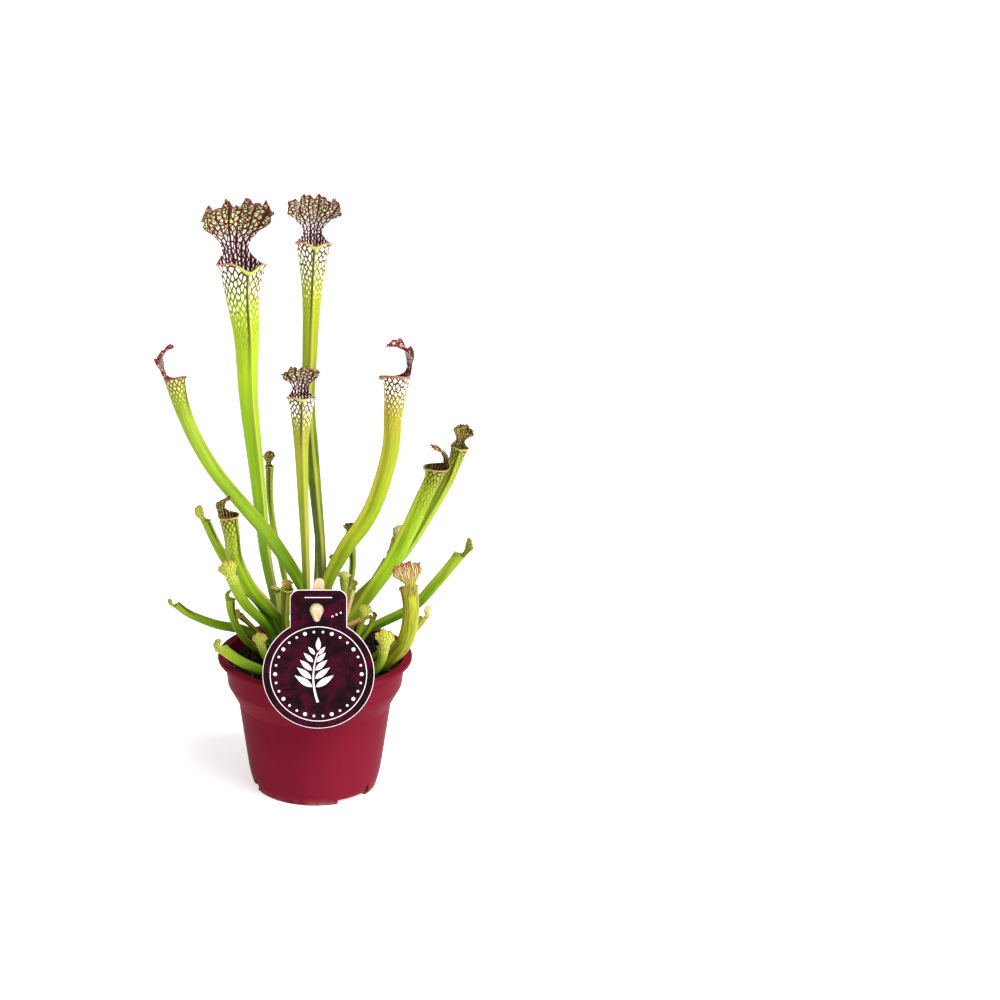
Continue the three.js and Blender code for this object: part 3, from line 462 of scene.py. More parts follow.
# %% Pitcher colour group
def pitcher_group():
    sockets = {
        name: ("Color", screen(value)) if isinstance(value, str) else ("Float", value)
        for name, value in PITCHER_INPUTS.items()
    }
    results = {"Color": "Color", "Glow": "Color", "Height": "Float", "Roughness": "Float"}
    graph, ins, out = node_group("pitcher colour", "Shader", sockets, results)
    at = leaf_places(graph, ins)
    window, thin = tube_net(graph, ins, at)
    tube, on_keel = with_keel(graph, ins, at, tube_colour(graph, ins, at, window, thin))
    veins = hood_veins(graph, ins, at)
    hood = hood_colour(graph, ins, at, veins)
    on_hood = where_hood(graph, at)
    lit = graph.times(window, graph.less(on_hood), graph.step(at.depth, 0.2, 1.0, 1.0, 0.4))
    relief = graph.split(graph.mix(on_hood, thin, veins))[0]
    graph.give(out, "Color", graph.mix(on_hood, tube, hood))
    graph.give(out, "Glow", graph.mix(graph.times(lit, graph.less(on_keel)), "#000000", ins["Window"]))
    graph.give(out, "Height", graph.plus(relief, graph.times(at.streak, 0.6)))
    graph.give(out, "Roughness", graph.step(at.patches, 0.2, 0.8, 0.4, 0.55))
    return graph.tree


PITCHER = pitcher_group()
print("group:", PITCHER.name, len(PITCHER.nodes), "nodes")


# %% [markdown]
# ## Leaf skins
# The same group serves every leaf with other colours: tall pitchers with white windows, amber and olive ones
# seen from the side, dark mottled ones, young ones with a pale hood on a green tube, and a few odd ones.

# %% Pitcher finish
WINDOW_GLOW = 0.22
VEIN_RELIEF = 0.12


def pitcher_material(name, gloss=0.14, **values):
    """A pitcher's finish: a thin coat on the pattern, whose windows glow as if light came through them."""
    finish = Finish(name, Specular_IOR_Level=gloss, Coat_Weight=0.2 * gloss, Coat_Roughness=0.3)
    made = finish.group(PITCHER, **values)
    finish.feed(Base_Color=made["Color"], Emission_Color=made["Glow"], Roughness=made["Roughness"])
    finish.feed(Emission_Strength=WINDOW_GLOW)
    finish.bump(made["Height"], VEIN_RELIEF, 0.6)
    return finish.material


# the young leaves' dark foot and darker body are partly their own green and partly painted shade low in the
# crowded rosette
YOUNG = {
    "Foot": "#335a06", "Foot_Share": 0.65, "Body": "#6c9212", "Shoulder": "#aabf38", "Stripe": "#547a10",
    "Window": "#c4d05c", "Hood_Cell": "#c8d25c", "Hood_Vein": "#94882c", "Neck_Vein": "#868a28",
    "Margin": "#a8843c", "Tube_Vein": "#7d8a28", "Low_Vein": "#7d8a28", "Window_Depth": 12.0, "Net": 0.0,
    "Tube_Veins": 0.4, "Hood_Net": 0.5, "Ray_Width": 0.5, "Stain": 0.1, "Rays": 2.4, "Rungs": 3.0,
    "Streaks": 0.45, "gloss": 0.06,
}


def young_material(name, **values):
    return pitcher_material(name, **{**YOUNG, **values})


# %% Leaf skins
SKINS = {
    "mature": pitcher_material("mature pitcher"),
    "bronze": pitcher_material(
        "bronze pitcher", Foot="#5c840a", Body="#9ab01e", Shoulder="#bcbc38", Stripe="#847a24",
        Window_Depth=24.0, Tube_Vein="#52240e", Low_Vein="#8a6a2c", Hood_Cell="#f8f0c4", Hood_Vein="#4a1610",
        Ray_Width=1.2, Rays=2.4, Rungs=5.0, Stain=0.25,
    ),
    # this leaf stands behind the others: its dark foot and body are painted shade over the lower tube
    "deep": pitcher_material(
        "deep green pitcher", Foot="#3e5802", Body="#465e02", Shoulder="#ccd230", Foot_Share=0.9,
        Hood_Cell="#faf6d4", Hood_Vein="#4e121c", Ray_Width=1.2, Hood_Net=1.15, Stain=0.25,
    ),
    "amber": pitcher_material(
        "amber pitcher", Foot="#64860a", Body="#9cb81c", Shoulder="#ccc23c", Stripe="#7c7a20", Streaks=0.45,
        Tube_Vein="#5e1e1a", Low_Vein="#9a5a34", Hood_Cell="#f0e2b8", Hood_Vein="#560e1c",
        Neck_Vein="#6a1420", Margin="#8c2440", Hood_Net=1.5, Ray_Width=1.35, Keel="#5a6a08",
        Crest="#c08a50", Window_Depth=28.0, Rays=2.4, Rungs=6.0,
    ),
    "olive": pitcher_material(
        "olive pitcher", Foot="#6fa414", Body="#92b824", Shoulder="#a8ba38", Stripe="#7c8a24", Streaks=0.5,
        Window="#e8e6a8", Tube_Vein="#6a4a24", Low_Vein="#7a6a22", Hood_Cell="#e8c8a4", Hood_Vein="#4e0a1a",
        Neck_Vein="#6a1424", Margin="#8c2240", Hood_Net=1.8, Ray_Width=1.3, Keel="#4a6a0a",
        Window_Depth=18.0, Net=0.35, Rays=2.2, Rungs=5.0,
    ),
    "dark": pitcher_material(
        "dark pitcher", Foot="#587e08", Body="#9cc41c", Shoulder="#b4c038", Stripe="#6c8414", Net=0.0,
        Streaks=0.6, Throat=0.9, Tube_Vein="#4a3214", Low_Vein="#7a6a20", Window="#b0aa5a",
        Hood_Cell="#d4c86c", Hood_Vein="#4a2014", Neck_Vein="#3a180c", Margin="#7e3240", Hood_Net=0.9,
        Window_Depth=26.0, Rays=2.2, Rungs=4.5,
    ),
    "frilled": pitcher_material(
        "frilled pitcher", Foot="#5c8a10", Body="#9fac16", Shoulder="#b8bc30", Stripe="#5e4a16", Streaks=0.8,
        Net=0.0, Window="#b8b848", Tube_Vein="#6a3420", Low_Vein="#7a5a24", Hood_Cell="#dccc8c",
        Hood_Vein="#7c3c20", Neck_Vein="#6a4a18", Margin="#b02440", Hood_Net=0.3, Rays=3.6, Rungs=1.2,
        Window_Depth=12.0, Tube_Veins=0.0, Stain=0.0,
    ),
    "young": young_material("young pitcher"),
    "pale": young_material("pale pitcher", Body="#c4d048", Shoulder="#e8e480", Hood_Cell="#f8f2a8"),
    "striped": young_material(
        "striped pitcher", Body="#a8b83c", Shoulder="#dcdc7c", Stripe="#7a5024", Streaks=0.8,
        Hood_Cell="#f4eca4", Hood_Vein="#8a5c2c", Neck_Vein="#7a5424", Hood_Net=0.25, Ray_Width=0.9,
        Rays=2.8, Rungs=1.2, Tube_Veins=0.8, Margin="#c8b060",
    ),
    "speckled": young_material(
        "speckled pitcher", Body="#66800e", Shoulder="#808020", Stripe="#5a5014", Hood_Cell="#f4e098",
        Hood_Vein="#c0823c", Neck_Vein="#8a5a24", Margin="#d09850", Hood_Net=1.2, Rungs=5.0, Throat=0.8,
        Tube_Vein="#5a3a14",
    ),
    "tan": young_material(
        "tan pitcher", Foot="#ccb668", Body="#ecd488", Shoulder="#f2dc94", Stripe="#c8a864", Keel="#b89854"
    ),
    "red stalk": young_material(
        "red stalk", Foot="#b42804", Foot_Share=0.72, Stripe="#8a3a10", Keel="#7a2408"
    ),
    "dry": young_material(
        "dried leaf", Foot="#a8683a", Body="#c98a55", Shoulder="#d9a570", Stripe="#8a4f28",
        Hood_Cell="#d9a570", Hood_Vein="#8a4f28", Neck_Vein="#8a4f28", Margin="#7a4422", Keel="#8a4f28",
        Streaks=1.0,
    ),
}
print("leaf skins:", ", ".join(SKINS))

# %% [markdown]
# ## Leaf table
# Each leaf has a place on the crown, the way that its mouth faces, and stations of x, y, z and radius up
# its middle line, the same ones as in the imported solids. A hood is given by its length and width, how far it
# leans over the mouth, how deep it is cupped and folded back, and the reach of its margin at places across
# it, or else a number of plain lobes.

# %% Rows of the leaf table
NECK = {"large": math.radians(38), "medium": math.radians(45), "small": math.radians(55)}
CANT = {"large": 0.3, "medium": 0.12, "small": 0.12}
HOOD = {"start": -12, "lean": 75, "cup": 48, "recurve": 0, "lobes": 3, "notch": 0.03, "waves": 3}
LEAVES = []


def hood(length, width, **more):
    return {"length": length, "width": width, "frill": 0.05 * width, **HOOD, **more}


def leaf(name, size, skin, foot, facing, wing, lip, stations, hood, **more):
    """Adds a leaf to the table. Its neck, cant, level and dip differ from the usual ones where given."""
    LEAVES.append({
        "name": name, "size": size, "skin": skin, "foot": foot, "facing": facing, "wing": wing, "lip": lip,
        "stations": stations, "hood": hood, "neck": NECK[size], "cant": CANT[size], "level": 0,
        "dip": 0.8 * lip, **more,
    })


# %% Tall and large pitchers
leaf(
    "pitcher_tall_left", "large", "mature", [-8, 6], [0.35, -1, 0], 2.2, 2,
    [[-19, 6, 92, 2.4], [-26, 8, 123, 2.9], [-31, 12, 150, 3.6], [-35, 14, 193, 4.6], [-40, 16, 242, 5.8],
     [-41, 18, 279, 7.6], [-42.8, 18, 304.5, 10.4], [-43.4, 18, 323.4, 13.8]],
    hood(39, 46, lean=78, frill=2.6, waves=4, recurve=0.15, margin=[
        (-1, 0.64), (-0.86, 0.8), (-0.7, 0.93), (-0.52, 0.95), (-0.36, 0.97), (-0.2, 0.95), (-0.05, 0.84),
        (0.06, 0.74), (0.16, 0.86), (0.24, 0.97), (0.33, 1.06), (0.42, 0.95), (0.55, 0.93), (0.72, 0.97),
        (0.86, 1), (1, 0.74),
    ]), dip=6,
)
leaf(
    "pitcher_tall_centre", "large", "deep", [2, 6], [0.1, -1, 0], 2, 1.8,
    [[5, 7, 105, 2.4], [4, 8, 143, 2.8], [2, 10, 168, 3.4], [-2, 12, 212, 4.2], [-4, 13, 243, 4],
     [-3, 13, 274, 4.6], [-1.8, 13, 306.1, 5.8], [-0.8, 13, 337, 9.6]],
    hood(29, 34, lean=76, frill=2, waves=4, recurve=0.1, margin=[
        (-1, 0.6), (-0.86, 0.8), (-0.66, 0.93), (-0.5, 0.97), (-0.34, 0.88), (-0.15, 0.98), (0, 0.99),
        (0.13, 0.93), (0.28, 1.05), (0.42, 0.93), (0.6, 1), (0.75, 0.98), (0.88, 0.85), (1, 0.64),
    ]), dip=3.2,
)
leaf(
    "pitcher_far_left", "large", "olive", [-2, 0], [1, -0.15, 0], 3, 1.2,
    [[-4, -1, 105, 2], [-8, -2, 127, 2.4], [-27, -5, 160, 3], [-43, -7, 181, 3.2], [-59, -9, 202, 3.4],
     [-70, -9, 221, 3.6], [-78, -9, 241, 4.2], [-83, -9, 261, 5.9]],
    hood(22, 20, start=-16, lean=95, recurve=0.7, frill=1.2, margin=[
        (-1, 0.5), (-0.75, 0.62), (-0.45, 0.7), (-0.25, 0.94), (0, 1.04), (0.25, 0.96), (0.45, 0.72),
        (0.75, 0.64), (1, 0.5),
    ]), dip=0.6,
)
leaf(
    "pitcher_short_centre", "large", "bronze", [-3, -6], [0.12, -1, 0], 1.6, 1.4,
    [[-4, -9, 105, 2], [-5, -11, 130, 2.3], [-6, -13, 160, 2.6], [-7, -14, 188, 3.2], [-8, -16, 220, 4.1],
     [-8, -16, 238, 5.8], [-8, -16, 251, 7.6]],
    hood(18.5, 24, lean=80, frill=1.4, recurve=0.2, margin=[
        (-1, 0.6), (-0.82, 0.88), (-0.62, 0.93), (-0.45, 0.85), (-0.25, 0.88), (0, 0.92), (0.2, 0.97),
        (0.45, 1.03), (0.62, 1), (0.76, 0.86), (0.9, 0.84), (1, 0.62),
    ]), dip=1.2,
)
leaf(
    "pitcher_right", "large", "amber", [6, 0], [-1, -0.2, 0], 3, 1.6,
    [[6, 0, 105, 2], [8, 0, 128, 2.4], [19, 2, 151, 3.4], [31, 4, 168, 4], [39, 4, 186, 4.2],
     [46, 4, 214, 4.5], [47, 4, 236, 5.3], [49, 4, 259, 8]],
    hood(26, 26, start=-10, lean=112, recurve=0.75, frill=1.5, margin=[
        (-1, 0.56), (-0.75, 0.7), (-0.45, 0.76), (-0.25, 0.94), (0, 1.04), (0.25, 0.96), (0.45, 0.78),
        (0.75, 0.72), (1, 0.56),
    ]), dip=0.6,
)
leaf(
    "pitcher_right_low", "large", "dark", [11, -3], [-0.9, -0.4, 0.2], 2.2, 1.2,
    [[19.1, -2, 102.4, 2.5], [27.6, 0, 114.1, 2.9], [38, 2, 129, 3.7], [49.5, 4, 146.4, 4.3],
     [58.6, 5, 165.5, 4.6], [65.7, 6, 182.4, 4.8], [70.8, 6, 194.5, 5.2], [73.8, 6, 202.6, 6.7]],
    hood(20, 12, start=16, lean=92, recurve=0.4, lobes=4, notch=0.05, frill=0.8), cant=0, level=0.8,
)
leaf(
    "pitcher_far_right", "large", "dark", [12, 5], [0.05, -1, 0], 1.2, 1,
    [[16, 5, 95, 1.9], [22, 6, 115, 2], [36, 12, 128, 2.3], [54, 17, 143, 3], [72, 18, 173, 3.3],
     [81, 18, 191, 3.7], [85.2, 18, 202.5, 4.2], [88, 18, 212.2, 5]],
    hood(12.6, 13.4, lean=50, cup=40, frill=1, margin=[
        (-1, 0.55), (-0.75, 0.9), (-0.5, 0.84), (-0.2, 0.92), (0, 1.1), (0.15, 0.94), (0.45, 0.88),
        (0.75, 0.94), (1, 0.6),
    ]), cant=0.1, level=0.5,
)
print("leaves so far:", len(LEAVES))

# %% Leaves on the left
leaf(
    "pitcher_back_left", "medium", "dark", [-6, 14], [0.3, -1, 0], 0.8, 0.5,
    [[-13.1, 22, 98.1, 1.8], [-20.2, 32, 128.6, 1.9], [-26.3, 40, 155.6, 2], [-28.4, 46, 174.7, 2.1],
     [-28.5, 48, 191.4, 2.6]],
    hood(10, 8, lean=60),
)
leaf(
    "pitcher_left_middle", "medium", "dark", [-15, -5], [0.8, -0.6, 0], 2, 0.9,
    [[-19.9, -9, 106.1, 2.8], [-28.9, -13, 120.8, 3.5], [-39.7, -18, 135.4, 4.2], [-47.6, -22, 154, 4.6],
     [-49.5, -23, 169.2, 5], [-51.5, -23, 181.1, 5.8]],
    hood(14, 11, lean=120, lobes=2, recurve=0.4, frill=0.8), cant=0,
)
leaf(
    "pitcher_left_small", "small", "young", [-13, 11], [0.8, -0.6, 0], 0.8, 0.5,
    [[-24, 14, 95, 2], [-36, 15, 114, 2.7], [-46.5, 15, 126, 3.1], [-54, 15, 139, 3.2],
     [-61, 15, 151.8, 2.9], [-66.9, 15, 165.7, 2.8]],
    hood(10, 8, lean=40, recurve=0.3),
)
leaf(
    "pitcher_left_crinkled", "medium", "young", [-18, -9], [-0.1, 1, 0], 1, 0.6,
    [[-24, -13, 97, 2.2], [-32.1, -18, 112.9, 2.8], [-40.8, -25, 125.1, 3.2], [-45.8, -31, 136.1, 3.4],
     [-49.2, -33, 145.6, 3.7]],
    hood(12, 12, start=4, lean=60, cup=45, frill=0.8, margin=[
        (-1, 0.6), (-0.8, 0.9), (-0.5, 0.85), (-0.2, 0.9), (0.1, 1.1), (0.4, 0.88), (0.8, 0.9), (1, 0.6),
    ]), neck=1,
)
leaf(
    "pitcher_far_left_low", "medium", "young", [-17, 8], [0.35, -0.3, 1], 1, 0.4,
    [[-28, 14, 85, 2], [-44, 21, 92, 2.7], [-62, 24, 95, 2.7], [-78, 23, 102, 2.4],
     [-86.6, 22, 108.8, 2.4]],
    hood(6, 6, lean=60),
)
leaf(
    "pitcher_left_curved", "medium", "young", [-21, 0], [0.8, -0.5, 0.2], 0.6, 0.5,
    [[-31, 0, 84, 1.8], [-40, -1, 91, 2], [-47, -2, 101, 2.3], [-51, -2, 112, 2.6], [-52, -2, 121, 3]],
    hood(9, 8.5, start=4, lean=90, recurve=0.3), neck=0.9,
)
leaf(
    "pitcher_front_left_small", "small", "young", [-20, -13.5], [0.2, 1, 0], 0.4, 0.5,
    [[-26.2, -20, 82.6, 1.7], [-29.9, -25, 91.7, 1.9], [-32.2, -27, 100.2, 2.7]],
    hood(9, 10, start=4, lean=60, notch=0.05, frill=0.8), neck=1.2,
)
leaf(
    "pitcher_rim_left", "medium", "young", [-12, -16], [0.25, 1, 0.3], 1, 0.5,
    [[-19, -26, 80, 2.2], [-31.9, -31, 85.7, 3], [-45.2, -30, 91.7, 3], [-55.3, -25, 96.9, 3.2]],
    hood(8, 11, start=6, lean=60, cup=50, notch=0.05, frill=0.8), neck=1.1,
)
leaf(
    "pitcher_open_mouth", "small", "speckled", [-10, -11], [0.05, -1, 0], 0.4, 0.6,
    [[-15, -15, 92, 2.1], [-17.6, -17, 111.9, 2.3], [-17.5, -18, 123.9, 2.8], [-16.9, -18, 133.1, 3.7]],
    hood(4.5, 8, lean=70),
)
leaf(
    "pitcher_pale_left", "small", "pale", [-13, 1], [-0.9, -0.4, 0], 0.3, 0.4,
    [[-19.7, 0, 99, 1.5], [-20.9, 0, 110.8, 1.7], [-21.8, 0, 118.7, 1.8], [-22.7, 0, 125.2, 2.1]],
    hood(8, 8, start=16, lean=105, recurve=0.2),
)
leaf(
    "pitcher_speckled_small", "small", "speckled", [-20, 5], [0.3, -1, 0], 0.3, 0.3,
    [[-31, 7, 91, 1.4], [-40, 7, 101, 1.5], [-46, 7, 107, 2.1]],
    hood(5, 5),
)
print("leaves so far:", len(LEAVES))

# %% Leaves at the back and in the middle
leaf(
    "pitcher_back_right", "small", "dark", [7, 16.5], [0.1, -1, 0], 0.4, 0.4,
    [[17.1, 24, 96.7, 1.8], [23.2, 32, 126.5, 2.1], [23.3, 35, 141.1, 2.4], [22.3, 36, 150.9, 2.9]],
    hood(7, 8.5, recurve=0.3, notch=0.05, lobes=4),
)
leaf(
    "pitcher_striped_back", "small", "striped", [15, 11], [0.35, 1, 0], 0.4, 0.4,
    [[25.2, 28, 97.9, 1.8], [38.8, 43, 115.4, 2.1], [47.3, 53, 128.1, 2.5], [51.8, 58.5, 139, 3.2]],
    hood(11, 10, start=4, lean=40, lobes=2, notch=0.05), neck=1.3,
)
leaf(
    "pitcher_back_low", "small", "red stalk", [12, 16], [-0.3, -1, 0], 0.3, 0.4,
    [[18.8, 20, 102.2, 1.5], [24.5, 25, 108, 1.6], [30.2, 29, 113.9, 1.6], [37.8, 33, 123.5, 1.8],
     [45, 36, 133.1, 2.6]],
    hood(7.5, 7, recurve=0.3),
)
leaf(
    "pitcher_pale_right", "small", "pale", [10, 8], [0, 1, 0], 0.3, 0.4,
    [[17, 11, 95, 1.3], [19, 11, 113, 1.4], [18, 11, 121, 1.9], [18, 11, 129, 2.9]],
    hood(6, 9, start=6, lean=70), neck=1.2,
)
leaf(
    "pitcher_tan_small", "small", "tan", [7, -9], [-0.2, -1, 0], 0.3, 0.3,
    [[14, -10, 98, 1.5], [19.2, -9, 114.8, 1.8], [21, -9, 122.5, 1.9], [22.8, -9, 130.3, 2.1]],
    hood(6, 5),
)
leaf(
    "pitcher_behind_small", "small", "young", [3, 16], [0, -1, 0], 0.3, 0.3,
    [[7, 30, 92.8, 1.4], [9.1, 38, 109.4, 1.4], [10.1, 42, 120.5, 1.5], [11.1, 43, 129.3, 1.9]],
    hood(6, 6),
)
leaf(
    "leaf_thin_back", "small", "young", [-2, 14], [0.2, -1, 0], 0.4, 0.1,
    [[-1, 21, 100, 1.4], [1, 25, 130, 1.5], [1, 26, 152, 1.2]],
    hood(6, 3, lean=20, frill=0.2),
)
print("leaves so far:", len(LEAVES))

# %% Leaves on the right
leaf(
    "pitcher_frilled_right", "large", "frilled", [19, -8], [-0.3, 0.95, 0], 1.6, 0.8,
    [[29, -12, 79, 3], [38, -16, 82.4, 3.7], [45.9, -20, 89.8, 4.3], [52.8, -24, 99.5, 4.8],
     [56.5, -27, 112, 5], [57.4, -28.5, 126.4, 5], [56, -29, 137.9, 5.2]],
    hood(16, 19.5, start=2, lean=62, cup=40, recurve=0.3, frill=1.4, waves=4, margin=[
        (-1, 0.62), (-0.8, 0.86), (-0.5, 0.93), (-0.25, 0.95), (0, 1), (0.25, 1), (0.5, 0.96), (0.8, 0.86),
        (1, 0.62),
    ]), cant=0,
)
leaf(
    "pitcher_long_right", "medium", "young", [18, 3], [-0.8, -0.4, 0.5], 1.6, 0.6,
    [[27.9, 7, 93.8, 2.2], [40.3, 9, 100.9, 2.6], [61.3, 10, 112.1, 2.9], [74.7, 10, 127.2, 3.2],
     [82.5, 10, 137.3, 3.3], [88.8, 10, 145.7, 3.5]],
    hood(12, 9, start=0, lean=50, recurve=0.4, frill=0.8),
)
leaf(
    "pitcher_right_small", "small", "striped", [23, -1], [-0.5, 0.8, 0.3], 0.3, 0.4,
    [[37, 1, 83, 1.6], [52, 3, 91, 2], [61, 4, 98.5, 2.2], [67, 4, 106.8, 2.5]],
    hood(9, 7, start=6, lean=60), neck=1.1,
)
leaf(
    "pitcher_front_right", "medium", "young", [13, -15], [-0.15, 1, 0], 0.6, 0.5,
    [[24, -24, 79, 1.9], [35.1, -28, 83.8, 2.2], [39.8, -30, 91.7, 2.7], [41.1, -31, 100.5, 3.8]],
    hood(12, 13, start=6, lean=60, cup=45, frill=0.8, margin=[
        (-1, 0.6), (-0.8, 0.86), (-0.5, 0.85), (-0.2, 1.08), (0.1, 0.92), (0.4, 0.95), (0.8, 0.82),
        (1, 0.6),
    ]), neck=1,
)
leaf(
    "pitcher_curl_right", "small", "young", [13.8, -9.8], [-0.6, -0.8, 0], 0.2, 0.3,
    [[21, -12, 88, 1.4], [28, -14, 99, 1.5], [33, -15, 107, 1.5], [35, -15, 113, 1.8]],
    hood(5, 4.4, lean=80),
)
leaf(
    "pitcher_crinkled_right", "small", "young", [9, -14], [-0.1, 1, 0], 0.3, 0.5,
    [[15, -19, 88, 1.4], [24, -22, 101, 1.6], [27.2, -22, 111.2, 1.8], [28.9, -22, 117, 2.7]],
    hood(8, 9, start=4, lean=50, lobes=4, notch=0.06, frill=0.9), neck=1.2,
)
leaf(
    "leaf_dry", "small", "dry", [3, -14], [0, -0.4, 1], 0.2, 0.1,
    [[8.5, -20, 94.9, 1.2], [15.1, -24, 110, 1.4], [21.3, -26, 114, 1.5], [27, -27, 117.2, 1.3]],
    hood(7, 3, lean=20, frill=0.3),
)
print("leaves:", len(LEAVES))

# %% [markdown]
# ## Middle lines and cross sections
# The stations are joined by a Catmull-Rom curve, which passes through every station. The first point lies on
# the crown, a low dome under the peat. A frame of front, side and tangent directions turns each circle of the
# tube to face the same way, so that the keel runs down the front in one line.

# %% Curve and frames
CROWN_CENTRE = 66
CROWN_HALF = np.array([28.0, 20.0, 8.0])
SEAT_GAP = 0.35


def unit(vectors):
    return vectors / np.linalg.norm(vectors, axis=-1, keepdims=True)


def crown_seat(foot):
    """Point just over the crown above the foot, and the dome's normal there."""
    x, y = foot
    a, b, c = CROWN_HALF
    rise = c * math.sqrt(1 - (x / a) ** 2 - (y / b) ** 2)
    normal = unit(np.array([x / a**2, y / b**2, rise / c**2]))
    return np.array([x, y, CROWN_CENTRE + rise]) + normal * SEAT_GAP, normal


def catmull_rom(stations, u):
    """Values and slopes of the curve through the stations, at shares u of its length in stations."""
    knots = np.vstack([2 * stations[0] - stations[1], stations, 2 * stations[-1] - stations[-2]])
    pieces = len(stations) - 1
    place = np.clip(np.asarray(u, float) * pieces, 0, pieces)
    k = np.minimum(place.astype(int), pieces - 1)
    t = (place - k)[:, None]
    p0, p1, p2, p3 = (knots[k + i] for i in range(4))
    start, end = (p2 - p0) / 2, (p3 - p1) / 2
    bend, turn = -3 * p1 + 3 * p2 - 2 * start - end, 2 * p1 - 2 * p2 + start + end
    return p1 + start * t + bend * t**2 + turn * t**3, start + 2 * bend * t + 3 * turn * t**2


def frames_at(tangents, facing):
    front = unit(facing - tangents * (tangents @ facing)[:, None])
    return front, np.cross(front, tangents)


def smoothstep(value, low, high):
    t = np.clip((value - low) / (high - low), 0, 1)
    return t * t * (3 - 2 * t)


# %% [markdown]
# ## The leaf as a sheet
# The tube is a grid of rows up the leaf and columns round it. Columns crowd at the front, where the keel
# stands out as a thin fin. In the last stretch the rows bend: up at the back towards the neck, down at the
# front into a spout, and to a slant that brings the rim level. The hood carries on from the neck columns. It
# is a fan that leans over the mouth, is cupped and folded back at its sides, and its lobed margin is ruffled
# by waves that grow outwards.

# %% Leaf form
SIZES = {
    "large": {"lip_cells": 24, "neck_cells": 60, "tube_rows": 84, "hood_rows": 40, "wall": 0.5},
    "medium": {"lip_cells": 16, "neck_cells": 36, "tube_rows": 60, "hood_rows": 26, "wall": 0.45},
    "small": {"lip_cells": 12, "neck_cells": 26, "tube_rows": 44, "hood_rows": 20, "wall": 0.4},
}
NECK_RISE = {"large": 0.45, "medium": 0.45, "small": 0.5}
FLOOR_SHARE = 0.45
NET_CELL = 0.1
NET_RADIUS = 9.4


class Form:
    """One leaf's curve, mouth frame and mesh size."""

    def __init__(self, leaf, seed):
        seat, normal = crown_seat(leaf["foot"])
        first = leaf["stations"][0]
        self.leaf = leaf
        self.seed = seed
        self.stations = np.array([[*seat, first[3] * 0.95], *leaf["stations"]], float)
        self.facing = unit(np.array(leaf["facing"], float))
        self.seat_normal = normal
        self.size = SIZES[leaf["size"]]
        self.neck = leaf["neck"]
        self.mouth_radius = self.stations[-1, 3]
        self.neck_rise = NECK_RISE[leaf["size"]] * self.mouth_radius
        values, slopes = catmull_rom(self.stations, [1.0])
        self.mouth = values[0, :3]
        self.tangent = unit(slopes[:, :3])[0]
        front, side = frames_at(self.tangent[None], self.facing)
        self.front, self.side = front[0], side[0]
        self.cell_scale = (NET_RADIUS / self.mouth_radius) ** 0.45 * NET_CELL

    def columns(self):
        """Angles round the tube from the front, closing at the front again."""
        cells = self.size["lip_cells"]
        crowded = np.linspace(0, 1, cells + 1) ** 1.7 * (math.pi - self.neck)
        back = np.linspace(-self.neck, self.neck, self.size["neck_cells"] + 1)
        return np.concatenate([-math.pi + crowded[:-1], back, (math.pi - crowded[::-1])[1:]])

    def randoms(self, step=0):
        return np.random.default_rng(self.seed + step)


# %% Tube grid
MOUTH_STRETCH = 0.1
SPOUT_HALF = 0.4
FIN_HALF = 0.85
FILLET_HALF = 2.6
FILLET_SHARE = 0.22
INNER_KEEL = 0.2
WOBBLE = 0.012


def keel_reach(form, u):
    return form.leaf["wing"] * np.sin(math.pi * np.minimum(1, u * 1.02) ** 0.7) ** 0.8


def rim_height(form, angle, share):
    """Height of the rim above the mouth's centre: up at the neck, slanted, dipped at the spout."""
    leaf = form.leaf
    out = (np.sin(angle)[..., None] * form.side - np.cos(angle)[..., None] * form.front) * form.mouth_radius
    slope = -leaf["cant"] * out[..., 1] - leaf["level"] * out[..., 2] / form.tangent[2]
    spout = leaf["dip"] * np.exp(-(((math.pi - np.abs(angle)) / SPOUT_HALF) ** 2))
    return form.neck_rise * share**6 + slope * (1 - share**4) - spout


def tube_grid(form, shares, inset):
    """Points, maps and places of the tube's rows, moved in by inset."""
    values, slopes = catmull_rom(form.stations, shares)
    tangents = unit(slopes[:, :3])
    tangents[shares == 0] = form.seat_normal
    front, side = frames_at(tangents, form.facing)
    angle = form.columns()[None, :]
    share = np.minimum(1, (math.pi - np.abs(angle)) / (math.pi - form.neck))
    radius = values[:, 3:4]
    from_front = radius * (math.pi - np.abs(angle))
    rng = form.randoms()
    wobble = sum(
        WOBBLE * np.sin(k * angle + rng.uniform(0, 6.3) + rng.uniform(3, 9) * shares[:, None])
        for k in (2, 3, 5)
    )
    fin = np.exp(-((from_front / FIN_HALF) ** 2)) + FILLET_SHARE * np.exp(-((from_front / FILLET_HALF) ** 2))
    keel = keel_reach(form, shares)[:, None] * fin / (1 + FILLET_SHARE) * (INNER_KEEL if inset else 1.0)
    near = np.clip((shares - (1 - MOUTH_STRETCH)) / MOUTH_STRETCH, 0, 1)[:, None]
    flare = form.leaf["lip"] * np.sqrt(1 - share) * near**3
    reach = (radius * (1 + wobble * (1 - near)) - inset) + flare + keel
    height = rim_height(form, angle, share) * near
    points = values[:, None, :3] + front[:, None] * (-np.cos(angle) * reach)[..., None]
    points += side[:, None] * (np.sin(angle) * reach)[..., None] + tangents[:, None] * height[..., None]
    steps = np.linalg.norm(np.diff(values[:, :3], axis=0), axis=1)
    below = np.concatenate([[0], np.cumsum(steps[::-1])])[::-1][:, None]
    up = height - below
    fan = [angle / form.neck, (up - form.neck_rise) / form.leaf["hood"]["length"]]
    maps = np.stack(np.broadcast_arrays(form.mouth_radius * angle, up, *fan), -1)
    place = np.stack(np.broadcast_arrays(shares[:, None], -up, from_front), -1)
    return points, maps, place


# %% Hood grid
MARGIN_BLUR = (-0.09, -0.05, -0.02, 0.02, 0.05, 0.09)


def scallops(count, across, shift):
    """Waves between -1 and 1 with round tops and narrow notches."""
    return 2 * np.abs(np.sin(count * math.pi * across + shift)) - 1


